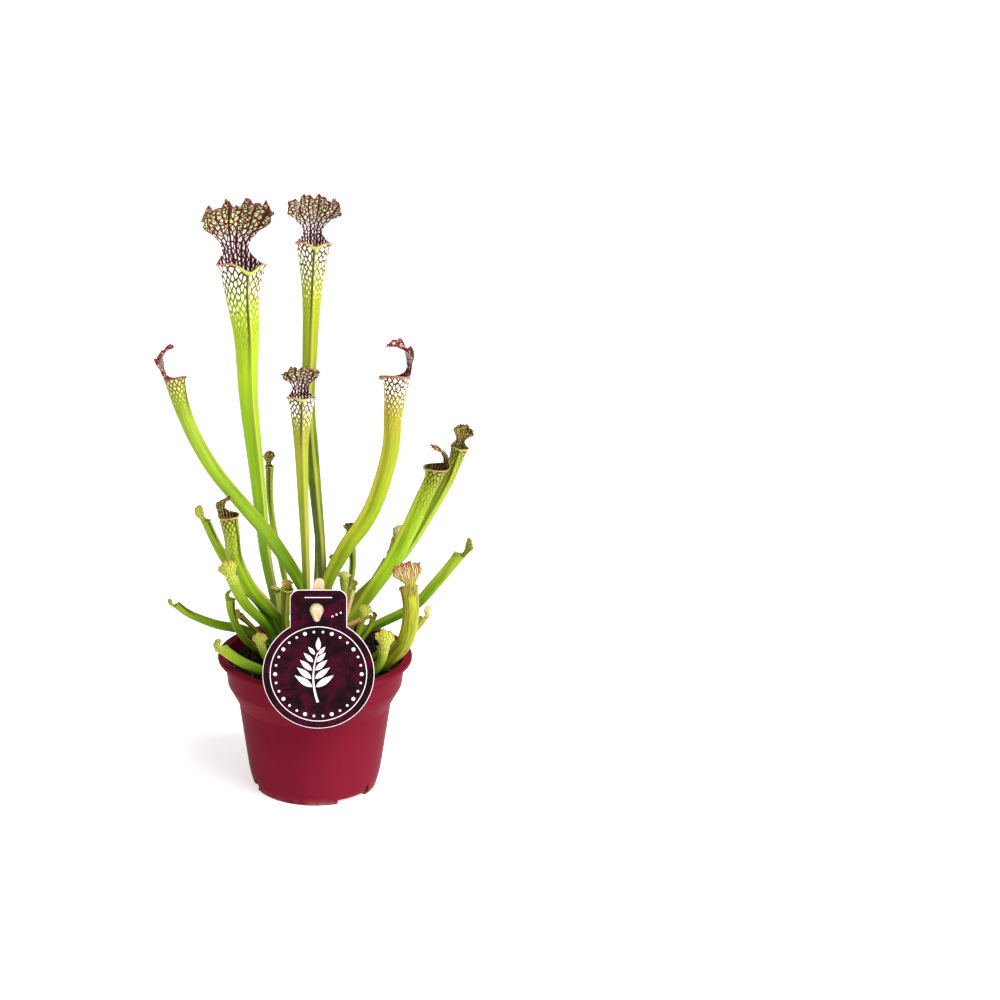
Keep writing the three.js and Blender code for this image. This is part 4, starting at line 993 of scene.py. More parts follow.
def margin_reach(form, across):
    """Share of the hood's length that its margin reaches at each place across it."""
    hood = form.leaf["hood"]
    rng = form.randoms(100)
    teeth = 0.03 * scallops(4.5, across, rng.uniform(0, 6)) + 0.015 * scallops(11, across, rng.uniform(0, 6))
    if "margin" in hood:
        places, reach = zip(*hood["margin"])
        return np.mean([np.interp(across + shift, places, reach) for shift in MARGIN_BLUR], axis=0) + teeth
    lobe = hood["notch"] * (np.cos(hood["lobes"] * math.pi * across) - 1)
    return 1 - 0.34 * np.abs(across) ** 3 + lobe + teeth


def hood_points(form, across, along):
    """Points of the hood, and its map: arc and length in millimetres, then the two shares of the fan."""
    hood = form.leaf["hood"]
    b = along * margin_reach(form, across)
    start, turn = math.radians(hood["start"]), math.radians(hood["lean"])
    angle = start + turn * b
    up = hood["length"] * (np.sin(angle) - math.sin(start)) / turn
    forward = -hood["length"] * (np.cos(angle) - math.cos(start)) / turn
    radius = form.mouth_radius
    neck_half = radius * math.sin(form.neck)
    fan = 0.55 * smoothstep(b, 0.03, 0.66) + 0.45 * np.clip(b / 0.8, 0, 1)
    waist = neck_half * (1 - 0.12 * np.sin(math.pi * np.minimum(1, 3 * b)))
    half = waist + (hood["width"] / 2 - neck_half) * fan
    cup = form.neck + (math.radians(hood["cup"]) - form.neck) * b
    rng = form.randoms(200)
    wave = b**2 * np.sin(hood["waves"] * math.pi * across + 0.8) * (0.4 + 0.6 * np.abs(across))
    ruffle = -0.5 * smoothstep(along, 0.5, 1.0) * scallops(4, across, rng.uniform(0, 6))
    ruffle = ruffle - 0.2 * smoothstep(along, 0.72, 1.0) * scallops(10, across, rng.uniform(0, 6))
    half = half * (1 + 0.07 * across**4 * smoothstep(b, 0.2, 0.4) * scallops(3, b, rng.uniform(0, 6)))
    bend = half / np.sin(cup)
    fold = hood["recurve"] * half * smoothstep(b, 0.05, 0.7) * across**2
    inward = bend * (1 - np.cos(across * cup)) + hood["frill"] * (wave + ruffle) - fold
    points = form.mouth + form.front * (forward - radius + inward * np.cos(angle))[..., None]
    points = points + form.tangent * (form.neck_rise + up - inward * np.sin(angle))[..., None]
    points = points + form.side * (bend * np.sin(across * cup))[..., None]
    return points, np.stack([bend * across * cup, form.neck_rise + hood["length"] * b, across, b], -1)


def hood_grid(form, inset):
    """Points, maps and nearness to the margin of the hood's rows, moved by inset to the hollow side."""
    rows = np.linspace(0, 1, form.size["hood_rows"] + 1)[:, None]
    across = np.linspace(-1, 1, form.size["neck_cells"] + 1)[None, :]
    across, along = np.broadcast_arrays(across, rows)
    points, maps = hood_points(form, across, along)
    step = 0.004
    lengthwise = hood_points(form, across, along + step)[0] - hood_points(form, across, along - step)[0]
    crosswise = hood_points(form, across + step, along)[0] - hood_points(form, across - step, along)[0]
    points = points + unit(np.cross(lengthwise, crosswise)) * inset
    side_edge = smoothstep(np.abs(across), 0.86, 1.0) * smoothstep(along, 0.1, 0.35)
    return points, maps, np.maximum(along, side_edge)


# %% [markdown]
# ## Closing the sheet
# The outer and the inner surface are joined by a narrow strip round the rim, a cap closes the foot, and the
# hollow ends in a floor a little below the middle. The two maps are stored on face corners, because the
# tube's seam needs two values at one point. Everything else is a value per point.

# %% Leaf mesh
FAR_FROM_KEEL = 99.0


class LeafMesh:
    """A leaf's points, with what is stored at each, and its faces, with the maps at their corners."""

    def __init__(self, seed):
        self.seed = float(seed)
        self.points, self.places, self.kinds = [], [], []
        self.faces, self.corners = [], []

    def add(self, grid, place, margin, inside, wrap):
        """Adds a grid of points and returns their numbers, with the first column again at a tube's end."""
        last = -1 if wrap else None
        start = sum(len(block) for block in self.points)
        kept = grid[:, :last]
        count = kept.shape[0] * kept.shape[1]
        self.points.append(kept.reshape(-1, 3))
        self.places.append(place[:, :last].reshape(-1, 3))
        near = margin[:, :last].ravel()
        self.kinds.append(np.stack([np.full(count, float(inside)), np.full(count, self.seed), near], -1))
        numbers = start + np.arange(count).reshape(kept.shape[:2])
        return np.hstack([numbers, numbers[:, :1]]) if wrap else numbers

    def face(self, numbers, maps):
        self.faces.append([int(number) for number in numbers])
        self.corners.append(maps)

    def skin(self, numbers, maps, turned_in):
        for i in range(numbers.shape[0] - 1):
            for j in range(numbers.shape[1] - 1):
                quad = [(i, j), (i, j + 1), (i + 1, j + 1), (i + 1, j)]
                quad = quad[::-1] if turned_in else quad
                self.face([numbers[c] for c in quad], [maps[c] for c in quad])

    def surface(self, form, inset, rows, turned_in):
        """Adds one surface of tube and hood, closes its lower end and returns the loop round its rim."""
        lip = form.size["lip_cells"]
        after = lip + form.size["neck_cells"]
        grid, maps, place = tube_grid(form, rows, inset)
        tube = self.add(grid, place, np.zeros(grid.shape[:2]), turned_in, True)
        self.skin(tube, maps, turned_in)
        grid, hood_maps, margin = hood_grid(form, inset)
        above = np.full_like(grid, FAR_FROM_KEEL)
        above[..., 0], above[..., 1] = 1, -hood_maps[..., 1]
        hood = self.add(grid[1:], above[1:], margin[1:], turned_in, False)
        self.skin(np.vstack([tube[-1, lip : after + 1], hood]), hood_maps, turned_in)
        ends = tube[0, :-1] if turned_in else tube[0, :-1][::-1]
        self.face(ends, [maps[0, 0]] * len(ends))
        loop = [*tube[-1, after:-1], *tube[-1, : lip + 1], *hood[:, 0], *hood[-1, 1:], *hood[:-1, -1][::-1]]
        loop_maps = [*maps[-1, after:-1], *maps[-1, : lip + 1], *hood_maps[1:, 0]]
        loop_maps += [*hood_maps[-1, 1:], *hood_maps[1:-1, -1][::-1]]
        return loop, loop_maps


def leaf_mesh(form):
    mesh = LeafMesh(form.seed)
    shares = np.linspace(0, 1, form.size["tube_rows"] + 1) ** 0.9
    outer, outer_maps = mesh.surface(form, 0.0, shares, False)
    inner, inner_maps = mesh.surface(form, form.size["wall"], shares[shares >= FLOOR_SHARE], True)
    for k in range(len(outer)):
        m = (k + 1) % len(outer)
        strip_maps = [outer_maps[k], outer_maps[m], inner_maps[m], inner_maps[k]]
        mesh.face([outer[k], outer[m], inner[m], inner[k]], strip_maps)
    return mesh


# %% Leaf piece
MAP_SHIFT = np.array([3.7, 5.3])


def leaf_piece(form):
    made = leaf_mesh(form)
    skin = SKINS[form.leaf["skin"]]
    points = np.concatenate(made.points)
    piece = mesh_piece(form.leaf["name"] + "_skin", points, made.faces, skin, smooth_degrees=80)
    mesh = piece.data
    for name, blocks in (("leaf_place", made.places), ("leaf_kind", made.kinds)):
        layer = mesh.attributes.new(name, "FLOAT_VECTOR", "POINT")
        layer.data.foreach_set("vector", np.concatenate(blocks).ravel())
    flat = np.array([corner for face in made.corners for corner in face])
    unrolled = flat[:, :2] * form.cell_scale + MAP_SHIFT * form.seed
    mesh.uv_layers.new(name="unrolled").data.foreach_set("uv", unrolled.ravel())
    mesh.uv_layers.new(name="fan").data.foreach_set("uv", flat[:, 2:].ravel())
    return piece


# %% [markdown]
# ## The leaves in the frame
# Every leaf stands for one node of the imported part, whose solid it hides. A slot name is given for each:
# green for most, pale for the light ones and dry for the withered one.

# %% Leaf pieces
SLOTS = {
    "pitcher_left_small": "leaf_pale", "pitcher_pale_left": "leaf_pale", "pitcher_pale_right": "leaf_pale",
    "pitcher_striped_back": "leaf_pale", "pitcher_tan_small": "leaf_pale", "leaf_dry": "leaf_dry",
}
forms = [Form(leaf, seed) for seed, leaf in enumerate(LEAVES)]
faces = 0
for form in forms:
    name = form.leaf["name"]
    piece = leaf_piece(form)
    finished(piece, SLOTS.get(name, "leaf_green"), name)
    faces += len(piece.data.polygons)
print("leaf faces:", faces)

# %% [markdown]
# ## Rolled lips
# The rim of a pitcher is rolled outwards into a smooth, shiny roll, thickest at the front spout and fading
# out where the neck begins. It follows a path, so Geometry Nodes sweep a small circle along the rims: one
# tree, fed with one line for each leaf and the roll's radius stored at each point.

# %% Lip lines
ROLLS = {
    # radius along the rim, radius at the spout, redness
    "mature": (0.55, 1.2, 0.45), "deep": (0.55, 1.1, 0.6), "bronze": (0.5, 0.9, 0.5),
    "amber": (0.8, 1.5, 0.75), "olive": (0.6, 0.9, 1.0), "dark": (0.45, 0.6, 0.6),
    "frilled": (0.5, 0.7, 0.5), "young": (0.3, 0.4, 0.1), "pale": (0.3, 0.4, 0.1),
    "striped": (0.3, 0.4, 0.3), "speckled": (0.4, 0.5, 0.2), "tan": (0.25, 0.3, 0.2),
    "red stalk": (0.3, 0.4, 0.2), "dry": (0.3, 0.3, 0.3),
}
SPOUT_SPREAD = 0.12


def lip_line(form):
    """Points, radii and kinds along the roll of one leaf's rim, from neck to neck round the front."""
    grid = tube_grid(form, np.array([1.0]), 0.0)[0][0][:-1]
    lip, cells = form.size["lip_cells"], form.size["neck_cells"]
    order = [*range(lip + cells - 3, 2 * lip + cells), *range(0, lip + 4)]
    spot = (math.pi - np.abs(form.columns()[order])) / (math.pi - form.neck)
    along, spout, redness = ROLLS[form.leaf["skin"]]
    thick = along + (spout - along) * np.exp(-((spot / SPOUT_SPREAD) ** 2))
    thick = thick * min(1.0, 0.1 * form.mouth_radius + 0.25) * (1 - 0.8 * np.minimum(1, spot) ** 5)
    outward = grid[order] - form.mouth
    outward = unit(outward - form.tangent * (outward @ form.tangent)[:, None])
    points = grid[order] + (outward * 0.3 - form.tangent * 0.35) * thick[:, None]
    return points, thick, [[s, redness, 0.0] for s in spot]


# %% Lip tree
def geometry_group(name, **inputs):
    """Empty geometry tree that takes and gives geometry, with more named inputs."""
    return node_group(
        name, "Geometry", {"Geometry": ("Geometry", None), **inputs}, {"Geometry": "Geometry"}
    )


def grow(piece, tree, **values):
    """Makes the tree's result the piece's mesh, with the tree's inputs set by their identifiers."""
    modifier = piece.modifiers.new(tree.name, "NODES")
    modifier.node_group = tree
    for item in tree.interface.items_tree:
        if item.in_out == "INPUT" and item.name in values:
            modifier[item.identifier] = values[item.name]
    apply_modifiers(piece)


def lip_tree():
    graph, ins, out = geometry_group("rolled lip", Sides=("Int", 12), Finish=("Material", None))
    line = graph.node("GeometryNodeMeshToCurve", {"Mesh": ins["Geometry"]})
    radius = graph.node("GeometryNodeInputNamedAttribute", {"Name": "roll_radius"}, data_type="FLOAT")
    circle = graph.node("GeometryNodeCurvePrimitiveCircle", {"Resolution": ins["Sides"], "Radius": 1.0})
    swept = {"Curve": line, "Profile Curve": circle, "Scale": radius, "Fill Caps": True}
    roll = graph.node("GeometryNodeCurveToMesh", swept)
    roll = graph.node("GeometryNodeSetShadeSmooth", {"Geometry": roll})
    roll = graph.node("GeometryNodeRealizeInstances", [roll])
    roll = graph.node("GeometryNodeSetMaterial", {"Geometry": roll, "Material": ins["Finish"]})
    graph.give(out, "Geometry", roll)
    return graph.tree


def lip_material():
    """Green to tan or dark red by the leaf's redness, blotched, and green at the spout of a pale lip."""
    finish = Finish("rolled lip", 0.3, Coat_Weight=0.25, Coat_Roughness=0.2)
    spot, redness, _ = finish.stored("roll_kind")
    blotches = finish.step(finish.noise(finish.place(), 700.0), 0.45, 0.68, 0.0, 0.75)
    colour = finish.mix(finish.step(redness, 0.0, 0.6), "#a9b03c", "#c08a60")
    colour = finish.mix(finish.step(redness, 0.5, 1.0), colour, "#8a2a34")
    colour = finish.mix(finish.times(blotches, redness), colour, "#8e3a34")
    at_spout = finish.times(
        finish.step(spot, 0.1, 0.24, 0.85, 0.0), finish.step(redness, 0.55, 0.7, 1.0, 0.0)
    )
    finish.feed(Base_Color=finish.mix(at_spout, colour, "#b4c832"))
    return finish.material


# %% Lips
lines = [lip_line(form) for form in forms]
points, radii, kinds = (np.concatenate(parts) for parts in zip(*lines))
ends = np.cumsum([len(line[0]) for line in lines])
edges = [(i - 1, i) for i in range(1, len(points)) if i not in ends]
mesh = bpy.data.meshes.new("pitcher_lips")
mesh.from_pydata((points * MM).tolist(), edges, [])
mesh.attributes.new("roll_radius", "FLOAT", "POINT").data.foreach_set("value", radii * MM)
mesh.attributes.new("roll_kind", "FLOAT_VECTOR", "POINT").data.foreach_set("vector", kinds.ravel())
lips = new_object("pitcher_lips", mesh)
grow(lips, lip_tree(), Sides=12, Finish=lip_material())
finished(lips, "leaf_green")
print("lips:", len(lips.data.polygons), "faces")

# %% [markdown]
# ## Nursery pot
# The real pot is injection moulded: a thin wall with a flat flange, a stepped band under it, a taper down
# to a foot ring, and gaps in the ring beside the drain holes. A pot could be made with the Spin tool. Here
# its profile is written down, each corner is rounded, because a moulded edge is never sharp, and the profile
# is turned in steps. The gaps and the holes are cut out of it afterwards.

# %% Round corners
def rounded(outline, cuts, steps=5):
    """The open outline with each corner replaced by a small curve that starts the given length before it."""
    line = [np.array(p, float) for p in outline]
    made = []
    for i, corner in enumerate(line):
        if cuts[i] == 0 or i in (0, len(line) - 1):
            made.append(corner)
            continue
        start, end = (
            corner + unit(other - corner) * min(cuts[i], np.linalg.norm(other - corner) * 0.45)
            for other in (line[i - 1], line[i + 1])
        )
        for t in np.linspace(0, 1, steps):
            made.append((1 - t) ** 2 * start + 2 * t * (1 - t) * corner + t**2 * end)
    return np.array(made)


def lathe(profile, sides):
    """Points and faces of a closed profile of radius and height turned round the Z axis."""
    angles = np.linspace(0, 2 * math.pi, sides, endpoint=False)
    points, faces, rings = [], [], []
    for radius, height in profile:
        start = len(points)
        if radius < 1e-6:
            points.append([0, 0, height])
            rings.append([start] * sides)
        else:
            points.extend([radius * math.cos(a), radius * math.sin(a), height] for a in angles)
            rings.append(list(range(start, start + sides)))
    for low, high in zip(rings, rings[1:]):
        for j in range(sides):
            k = (j + 1) % sides
            faces.append(list(dict.fromkeys([low[j], low[k], high[k], high[j]])))
    return points, faces


# %% Pot profile
POT_HEIGHT = 85.4
RIM_RADIUS = 60
RIM_UNDER = 83
POT_FLOOR = 3
FLOOR_TOP = POT_FLOOR + 1.5
POT_PROFILE = [
    # radius, height, how much the corner is rounded: from the axis out, up the outside, and back down inside
    (0, POT_FLOOR, 0), (35.5, POT_FLOOR, 0.6), (36.1, 0, 0.4), (38.5, 0, 0.5), (39.3, POT_FLOOR, 1.2),
    (41.2, 10, 5.5), (47.4, 55, 0.9), (49.8, 59.7, 0.9), (54, 67.5, 0.9), (55.8, RIM_UNDER, 0.5),
    (RIM_RADIUS, RIM_UNDER, 0.5), (RIM_RADIUS, POT_HEIGHT, 0.7), (54.6, POT_HEIGHT, 0.5),
    (54.3, RIM_UNDER, 1.0), (52.5, 67.5, 1.6), (48.3, 59.7, 1.6), (45.9, 55, 1.6), (39.7, 10, 4.0),
    (37, FLOOR_TOP, 1.2), (0, FLOOR_TOP, 0),
]
GAP_DEGREES = 33
GAP_CENTRES = (-52.5, 67.5, 187.5)
GAP_RADII = (34.5, 42.0)
DRAIN_RADIUS = 2.8
DRAIN_PLACE = 37.6
DRAIN_HEIGHTS = (1.2, 7.2)


# %% [markdown]
# ## Gaps and drain holes
# A gap in the foot ring lets water out under the pot, and a drain hole opens at one end of each gap. Blocks
# and bars of their size are lofted from a few sections and taken out of the pot by Boolean modifiers, whose
# exact solver leaves clean edges.

# %% Pot cutters
def loft(sections):
    """Points and faces of a closed solid through a row of sections with equal numbers of points."""
    count = len(sections[0])
    points = [point for section in sections for point in section]
    last = len(points) - count
    faces = [list(range(count))[::-1], list(range(last, last + count))]
    for low in range(0, last, count):
        for k in range(count):
            m = (k + 1) % count
            faces.append([low + k, low + m, low + m + count, low + k + count])
    return points, faces


def gap_block(centre_degrees):
    """Solid of one gap in the foot ring, from under the table to the floor's underside."""
    angles = np.radians(np.linspace(-0.5, 0.5, 9) * GAP_DEGREES + centre_degrees)
    near, far = GAP_RADII
    corners = [(near, -1.0), (far, -1.0), (far, POT_FLOOR), (near, POT_FLOOR)]
    return loft([[(r * math.cos(a), r * math.sin(a), z) for r, z in corners] for a in angles])


def drain_rod(centre_degrees, sides=32):
    """Upright bar of one drain hole, which sits at the end of a gap."""
    angle = math.radians(centre_degrees + GAP_DEGREES / 2)
    x, y = DRAIN_PLACE * math.cos(angle), DRAIN_PLACE * math.sin(angle)
    turn = np.linspace(0, 2 * math.pi, sides, endpoint=False)
    return loft([
        [(x + DRAIN_RADIUS * math.cos(t), y + DRAIN_RADIUS * math.sin(t), z) for t in turn]
        for z in DRAIN_HEIGHTS
    ])


def cut(piece, solids):
    """Takes the solids' shapes out of the piece."""
    tools = [mesh_piece("cutter", points, faces) for points, faces in solids]
    for tool in tools:
        face_outward(tool.data)
        modifier = piece.modifiers.new("cut", "BOOLEAN")
        modifier.object = tool
        modifier.solver = "EXACT"
    apply_modifiers(piece)
    for tool in tools:
        bpy.data.objects.remove(tool)


# %% [markdown]
# ## Burgundy plastic
# The real plastic is matt and even, with a little grain, pale scuffs along the wall and dust at the foot.
# Noise on Object coordinates gives each of them. The shine is kept low, as the photograph shows next to
# none.

# %% Pot finish
def pot_plastic():
    """Matt burgundy plastic with flow marks, pale upright scuffs and dust at the foot."""
    finish = Finish("burgundy pot plastic", Specular_IOR_Level=0.015)
    place = finish.place()
    grain = finish.noise(place, 2600.0, 3.0, 0.6)
    flow = finish.noise(place, 14.0)
    scuffs = finish.noise(finish.place(1.0, 1.0, 6.0), 90.0, 4.0, 0.7)
    colour = finish.mix(finish.step(flow, 0.3, 0.7), "#6c1224", "#76182c")
    colour = finish.mix(finish.step(scuffs, 0.62, 0.78, 0.0, 0.22), colour, "#9c4056")
    low = finish.step(finish.split(place)[2], 0.0, 0.006, 1.0, 0.0)
    dust = finish.times(low, finish.step(scuffs, 0.4, 0.65), 0.35)
    rough = finish.math("MULTIPLY_ADD", finish.step(grain, 0.3, 0.7), 0.08, 0.4)
    finish.feed(
        Base_Color=finish.mix(dust, colour, "#b08a84"),
        Roughness=finish.plus(rough, finish.step(scuffs, 0.6, 0.8, 0.0, 0.12)),
    )
    finish.bump(grain, 0.03, 0.35)
    return finish.material


# %% Pot
profile = rounded([p[:2] for p in POT_PROFILE], [p[2] for p in POT_PROFILE])
pot = mesh_piece("pot_shell", *lathe(profile, 160), pot_plastic())
cut(pot, [make(centre) for make in (gap_block, drain_rod) for centre in GAP_CENTRES])
smooth(pot.data, 30)
finished(pot, "pot", "pot")
print("pot:", len(pot.data.polygons), "faces, size", [round(v, 4) for v in pot.dimensions])

# %% [markdown]
# ## Peat
# The compost is dark, fibrous peat. Its body is a lathe with an uneven top: the level is a sum of waves and
# fine noise, with a mound at the back right. Its wall keeps half a millimetre away from the pot's.

# %% Peat level
SOIL_TOP = 78
SOIL_WALL = [(0, 4.8), (36, 4.8), (39.2, 10), (45.4, 55), (47.8, 59.7), (52.0, 67.5), (53.1, 75.5)]
SOIL_EDGE = 53.0
MOUND_PLACE = (37, 27)
MOUND_HEIGHT = 6.5


def soil_level(x, y):
    ripples = 0.8 * math.sin(0.21 * x + 1.3) * math.cos(0.17 * y) + 0.5 * math.sin(0.43 * x - 0.37 * y)
    away = (x - MOUND_PLACE[0]) ** 2 + (y - MOUND_PLACE[1]) ** 2
    mound = MOUND_HEIGHT * math.exp(-away / 70)
    place = Vector((x * 0.12, y * 0.12, 1.7))
    return SOIL_TOP + ripples + mound + 1.5 * noise.fractal(place, 0.9, 2.1, 4) + 0.5 * noise.noise(place * 6)


def soil_mesh(sides=180, rings=46):
    """Closed body of the peat, a lathe whose rings on top are raised to the uneven level."""
    top = [(radius, SOIL_TOP) for radius in (*np.linspace(SOIL_EDGE, 1.2, rings), 0)]
    points, faces = lathe(SOIL_WALL + top, sides)
    for point in points[1 + (len(SOIL_WALL) - 1) * sides :]:
        point[2] = soil_level(*point[:2])
    return points, faces


# %% [markdown]
# ## Peat colours
# Damp peat is almost black, its fibres are brown, and the grains of perlite in it are white. They share one
# recipe of crumbs and darker patches.

# %% Peat finish
def peat_material(name, dark, light, relief):
    finish = Finish(name, 0.95, Specular_IOR_Level=0.2)
    crumbs = finish.noise(finish.place(), 420.0, 4.0, 0.65)
    patches = finish.noise(finish.place(), 60.0, 3.0)
    colour = finish.mix(finish.step(crumbs, 0.35, 0.68), dark, light)
    finish.feed(Base_Color=finish.mix(finish.step(patches, 0.4, 0.7, 0.0, 0.6), colour, "#120d09"))
    finish.bump(crumbs, relief, 0.8)
    return finish.material


PEAT = peat_material("dark peat", "#0f0a07", "#33241a", 0.8)
BROWN_PEAT = peat_material("brown peat fibre", "#3a2818", "#6f5236", 0.3)
GRIT = peat_material("perlite", "#b8b0a4", "#e8e4dc", 0.1)
soil = mesh_piece("soil_peat", *soil_mesh(), PEAT, smooth_degrees=70)
finished(soil, "soil", "soil")
print("peat body:", len(soil.data.polygons), "faces")


# %% [markdown]
# ## Crumbs and fibres
# Loose crumbs, lumps, fibres and grains of perlite lie on the peat. They would be slow to place by hand, so
# Geometry Nodes scatter them: random points on a sheet at the peat's level, a lump of twenty faces on each,
# turned, stretched and then roughened.

# %% Crumb scatter
def scatter_tree():
    """Lumps or fibres on random points of the mesh it gets."""
    graph, ins, out = geometry_group(
        "peat scatter", Count=("Float", 100.0), Smallest=("Float", 0.001), Largest=("Float", 0.002),
        Stretch=("Float", 1.0), Flatness=("Float", 1.0), Lift=("Float", 0.0), Roughen=("Float", 0.0003),
        Tilt=("Float", math.pi), Seed=("Int", 1), Finish=("Material", None),
    )
    ground = {"Mesh": ins["Geometry"], "Density": ins["Count"], "Seed": ins["Seed"]}
    points = graph.node("GeometryNodeDistributePointsOnFaces", ground, distribute_method="RANDOM")
    lump = graph.node("GeometryNodeMeshIcoSphere", {"Radius": 1.0, "Subdivisions": 1})

    def random(low, high, offset, kind="FLOAT"):
        """Random values from low to high, with the offset added to the seed."""
        first, output = (0, 0) if kind == "FLOAT_VECTOR" else (2, 1)
        inputs = {first: low, first + 1: high, 8: graph.plus(ins["Seed"], float(offset))}
        return graph.node("FunctionNodeRandomValue", inputs, output, data_type=kind)

    tilt = graph.join(ins["Tilt"], ins["Tilt"], math.pi)
    turn = random(graph.scaled(tilt, -1.0), tilt, 11, "FLOAT_VECTOR")
    size = random(ins["Smallest"], ins["Largest"], 23)
    uneven = random((0.6,) * 3, (1.3,) * 3, 31, "FLOAT_VECTOR")
    shape = graph.vector("MULTIPLY", graph.join(ins["Stretch"], 1.0, ins["Flatness"]), uneven)
    placed = {"Points": points, "Instance": lump, "Rotation": turn, "Scale": graph.scaled(shape, size)}
    real = graph.node("GeometryNodeRealizeInstances", [graph.node("GeometryNodeInstanceOnPoints", placed)])
    up = graph.join(0.0, 0.0, ins["Lift"])
    offset = graph.vector("ADD", graph.wander(None, 900.0, ins["Roughen"]), up)
    moved = graph.node("GeometryNodeSetPosition", {"Geometry": real, "Offset": offset})
    dressed = graph.node("GeometryNodeSetMaterial", {"Geometry": moved, "Material": ins["Finish"]})
    graph.give(out, "Geometry", dressed)
    return graph.tree


# %% Crumbs and fibres
SCATTER = scatter_tree()
SCATTER_EDGE = 50.3


def ground_patch(name, reach, centre=(0, 0), steps=48):
    """The peat's top as a bare sheet for the scatter to stand on."""
    places = [2 * i / steps - 1 for i in range(steps + 1)]
    spots = [(centre[0] + reach * u, centre[1] + reach * v) for u in places for v in places]
    faces = []
    for i in range(steps):
        for j in range(steps):
            a, b = i * (steps + 1) + j, (i + 1) * (steps + 1) + j
            corners = [a, b, b + 1, a + 1]
            if np.hypot(*np.mean([spots[c] for c in corners], axis=0)) < SCATTER_EDGE:
                faces.append(corners)
    return mesh_piece(name, [(x, y, soil_level(x, y)) for x, y in spots], faces)


def scatter(name, ground, finish, per_square_metre, **values):
    """Grows lumps on a patch of ground, which they replace."""
    patch = ground_patch(name, *ground)
    grow(patch, SCATTER, Count=float(per_square_metre), Finish=finish, **values)
    finished(patch, "soil")
    print(name + ":", len(patch.data.polygons), "faces")


scatter(
    "peat_crumbs", [52], PEAT, 420000,
    Smallest=0.0003, Largest=0.0013, Flatness=0.7, Roughen=0.0006, Seed=3,
)
scatter(
    "peat_lumps", [52], PEAT, 42000,
    Smallest=0.0014, Largest=0.0026, Flatness=0.6, Roughen=0.0014, Seed=8,
)
scatter(
    "peat_fibres", [50], BROWN_PEAT, 40000,
    Smallest=0.0003, Largest=0.0005, Stretch=12.0, Flatness=0.6, Roughen=0.0005, Tilt=0.3, Lift=0.0008,
    Seed=15,
)
scatter(
    "peat_clods", [9, (36, 26), 12], PEAT, 120000,
    Smallest=0.0012, Largest=0.0024, Flatness=0.8, Roughen=0.0016, Lift=0.0012, Seed=21,
)
scatter(
    "perlite_grit", [50], GRIT, 4500,
    Smallest=0.0003, Largest=0.0008, Flatness=0.8, Roughen=0.0003, Lift=0.0006, Seed=27,
)

# %% [markdown]
# ## Rhizome
# The crown under the peat is a stout brown rootstock. Its solid is right as it is, so it only gets a bark
# finish.

# %% Rhizome finish
def rootstock_bark():
    finish = Finish("rootstock bark", 0.85)
    rings = finish.noise(finish.place(1.0, 1.0, 4.0), 260.0, 4.0, 0.6)
    finish.feed(Base_Color=finish.mix(finish.step(rings, 0.3, 0.7), "#3a2415", "#7d5734"))
    finish.bump(rings, 0.6, 0.8)
    return finish.material


rhizome = bpy.data.objects["rhizome"]
rhizome.data.materials.clear()
rhizome.data.materials.append(rootstock_bark())
print("rhizome:", len(rhizome.data.polygons), "faces")

# %% [markdown]
# ## Care label
# The label is a printed card with a round disc, a tab and a drop-shaped hole that hangs on a wooden peg.
# Flat shapes with holes are easiest as filled 2-D curves, which Blender turns into a mesh. A white card lies
# at the bottom, a dark ground lies on it a little smaller, so that the white edge shows, and the light
# pattern lies on the ground.

# %% Flat shapes
LABEL_RADIUS = 32.9
LABEL_CENTRE = (2.0, -59.7, 95.2)
LABEL_LEAN = 8
LABEL_THICKNESS = 0.8
TAB_WIDTH = 33.4
TAB_TOP = 50.4
TAB_CORNER = 5.6
HOLE_HEIGHT = 38.4
LABEL_PLACE = Matrix.Translation(LABEL_CENTRE) @ Matrix.Rotation(math.radians(90 - LABEL_LEAN), 4, "X")


def arc(x, y, radius, first, last, steps):
    angles = np.radians(np.linspace(first, last, steps + 1))
    return [(x + radius * math.cos(a), y + radius * math.sin(a)) for a in angles]


def flat_shape(name, loops, thickness, height, place, finish, edge=0.0):
    """Solid from closed loops in millimetres, holes included. Its front is at the height before placing."""
    curve = bpy.data.curves.new(name, "CURVE")
    curve.dimensions = "2D"
    curve.fill_mode = "BOTH"
    curve.extrude = thickness / 2 - edge
    curve.bevel_depth = edge
    curve.bevel_resolution = 3 if edge else 0
    curve.offset = -edge
    for loop in loops:
        spline = curve.splines.new("POLY")
        spline.points.add(len(loop) - 1)
        for point, (x, y) in zip(spline.points, loop):
            point.co = (x, y, 0, 1)
        spline.use_cyclic_u = True
    drawn = new_object(name, curve)
    mesh = as_mesh(drawn)
    bpy.data.objects.remove(drawn)
    bpy.data.curves.remove(curve)
    lowered = Matrix.Translation((0, 0, height - thickness / 2))
    mesh.transform(Matrix.Diagonal((MM, MM, MM, 1)) @ place @ lowered)
    mesh.materials.clear()
    face_outward(mesh, weld=1e-7)
    smooth(mesh, 35)
    return new_object(name, mesh, finish)


# %% Label outline
def label_outline(inset=0.0):
    """Disc with a tab above it, moved in by the inset."""
    radius, half = LABEL_RADIUS - inset, TAB_WIDTH / 2 - inset
    join = math.degrees(math.asin(half / radius))
    corner = TAB_CORNER - inset
    x, y = TAB_WIDTH / 2 - TAB_CORNER, TAB_TOP - TAB_CORNER
    disc = arc(0, 0, radius, 90 + join, 450 - join, 120)
    return [*disc, *arc(x, y, corner, 0, 90, 12), *arc(-x, y, corner, 90, 180, 12)]


def drop(grow=0.0):
    """Outline of the peg, and of its hole when grown."""
    top = arc(-1, HOLE_HEIGHT, 3.4 + grow, -25, 205, 24)
    return [*top, *arc(-1, HOLE_HEIGHT - 5.2, 1.3 + grow, 200, 340, 10)]


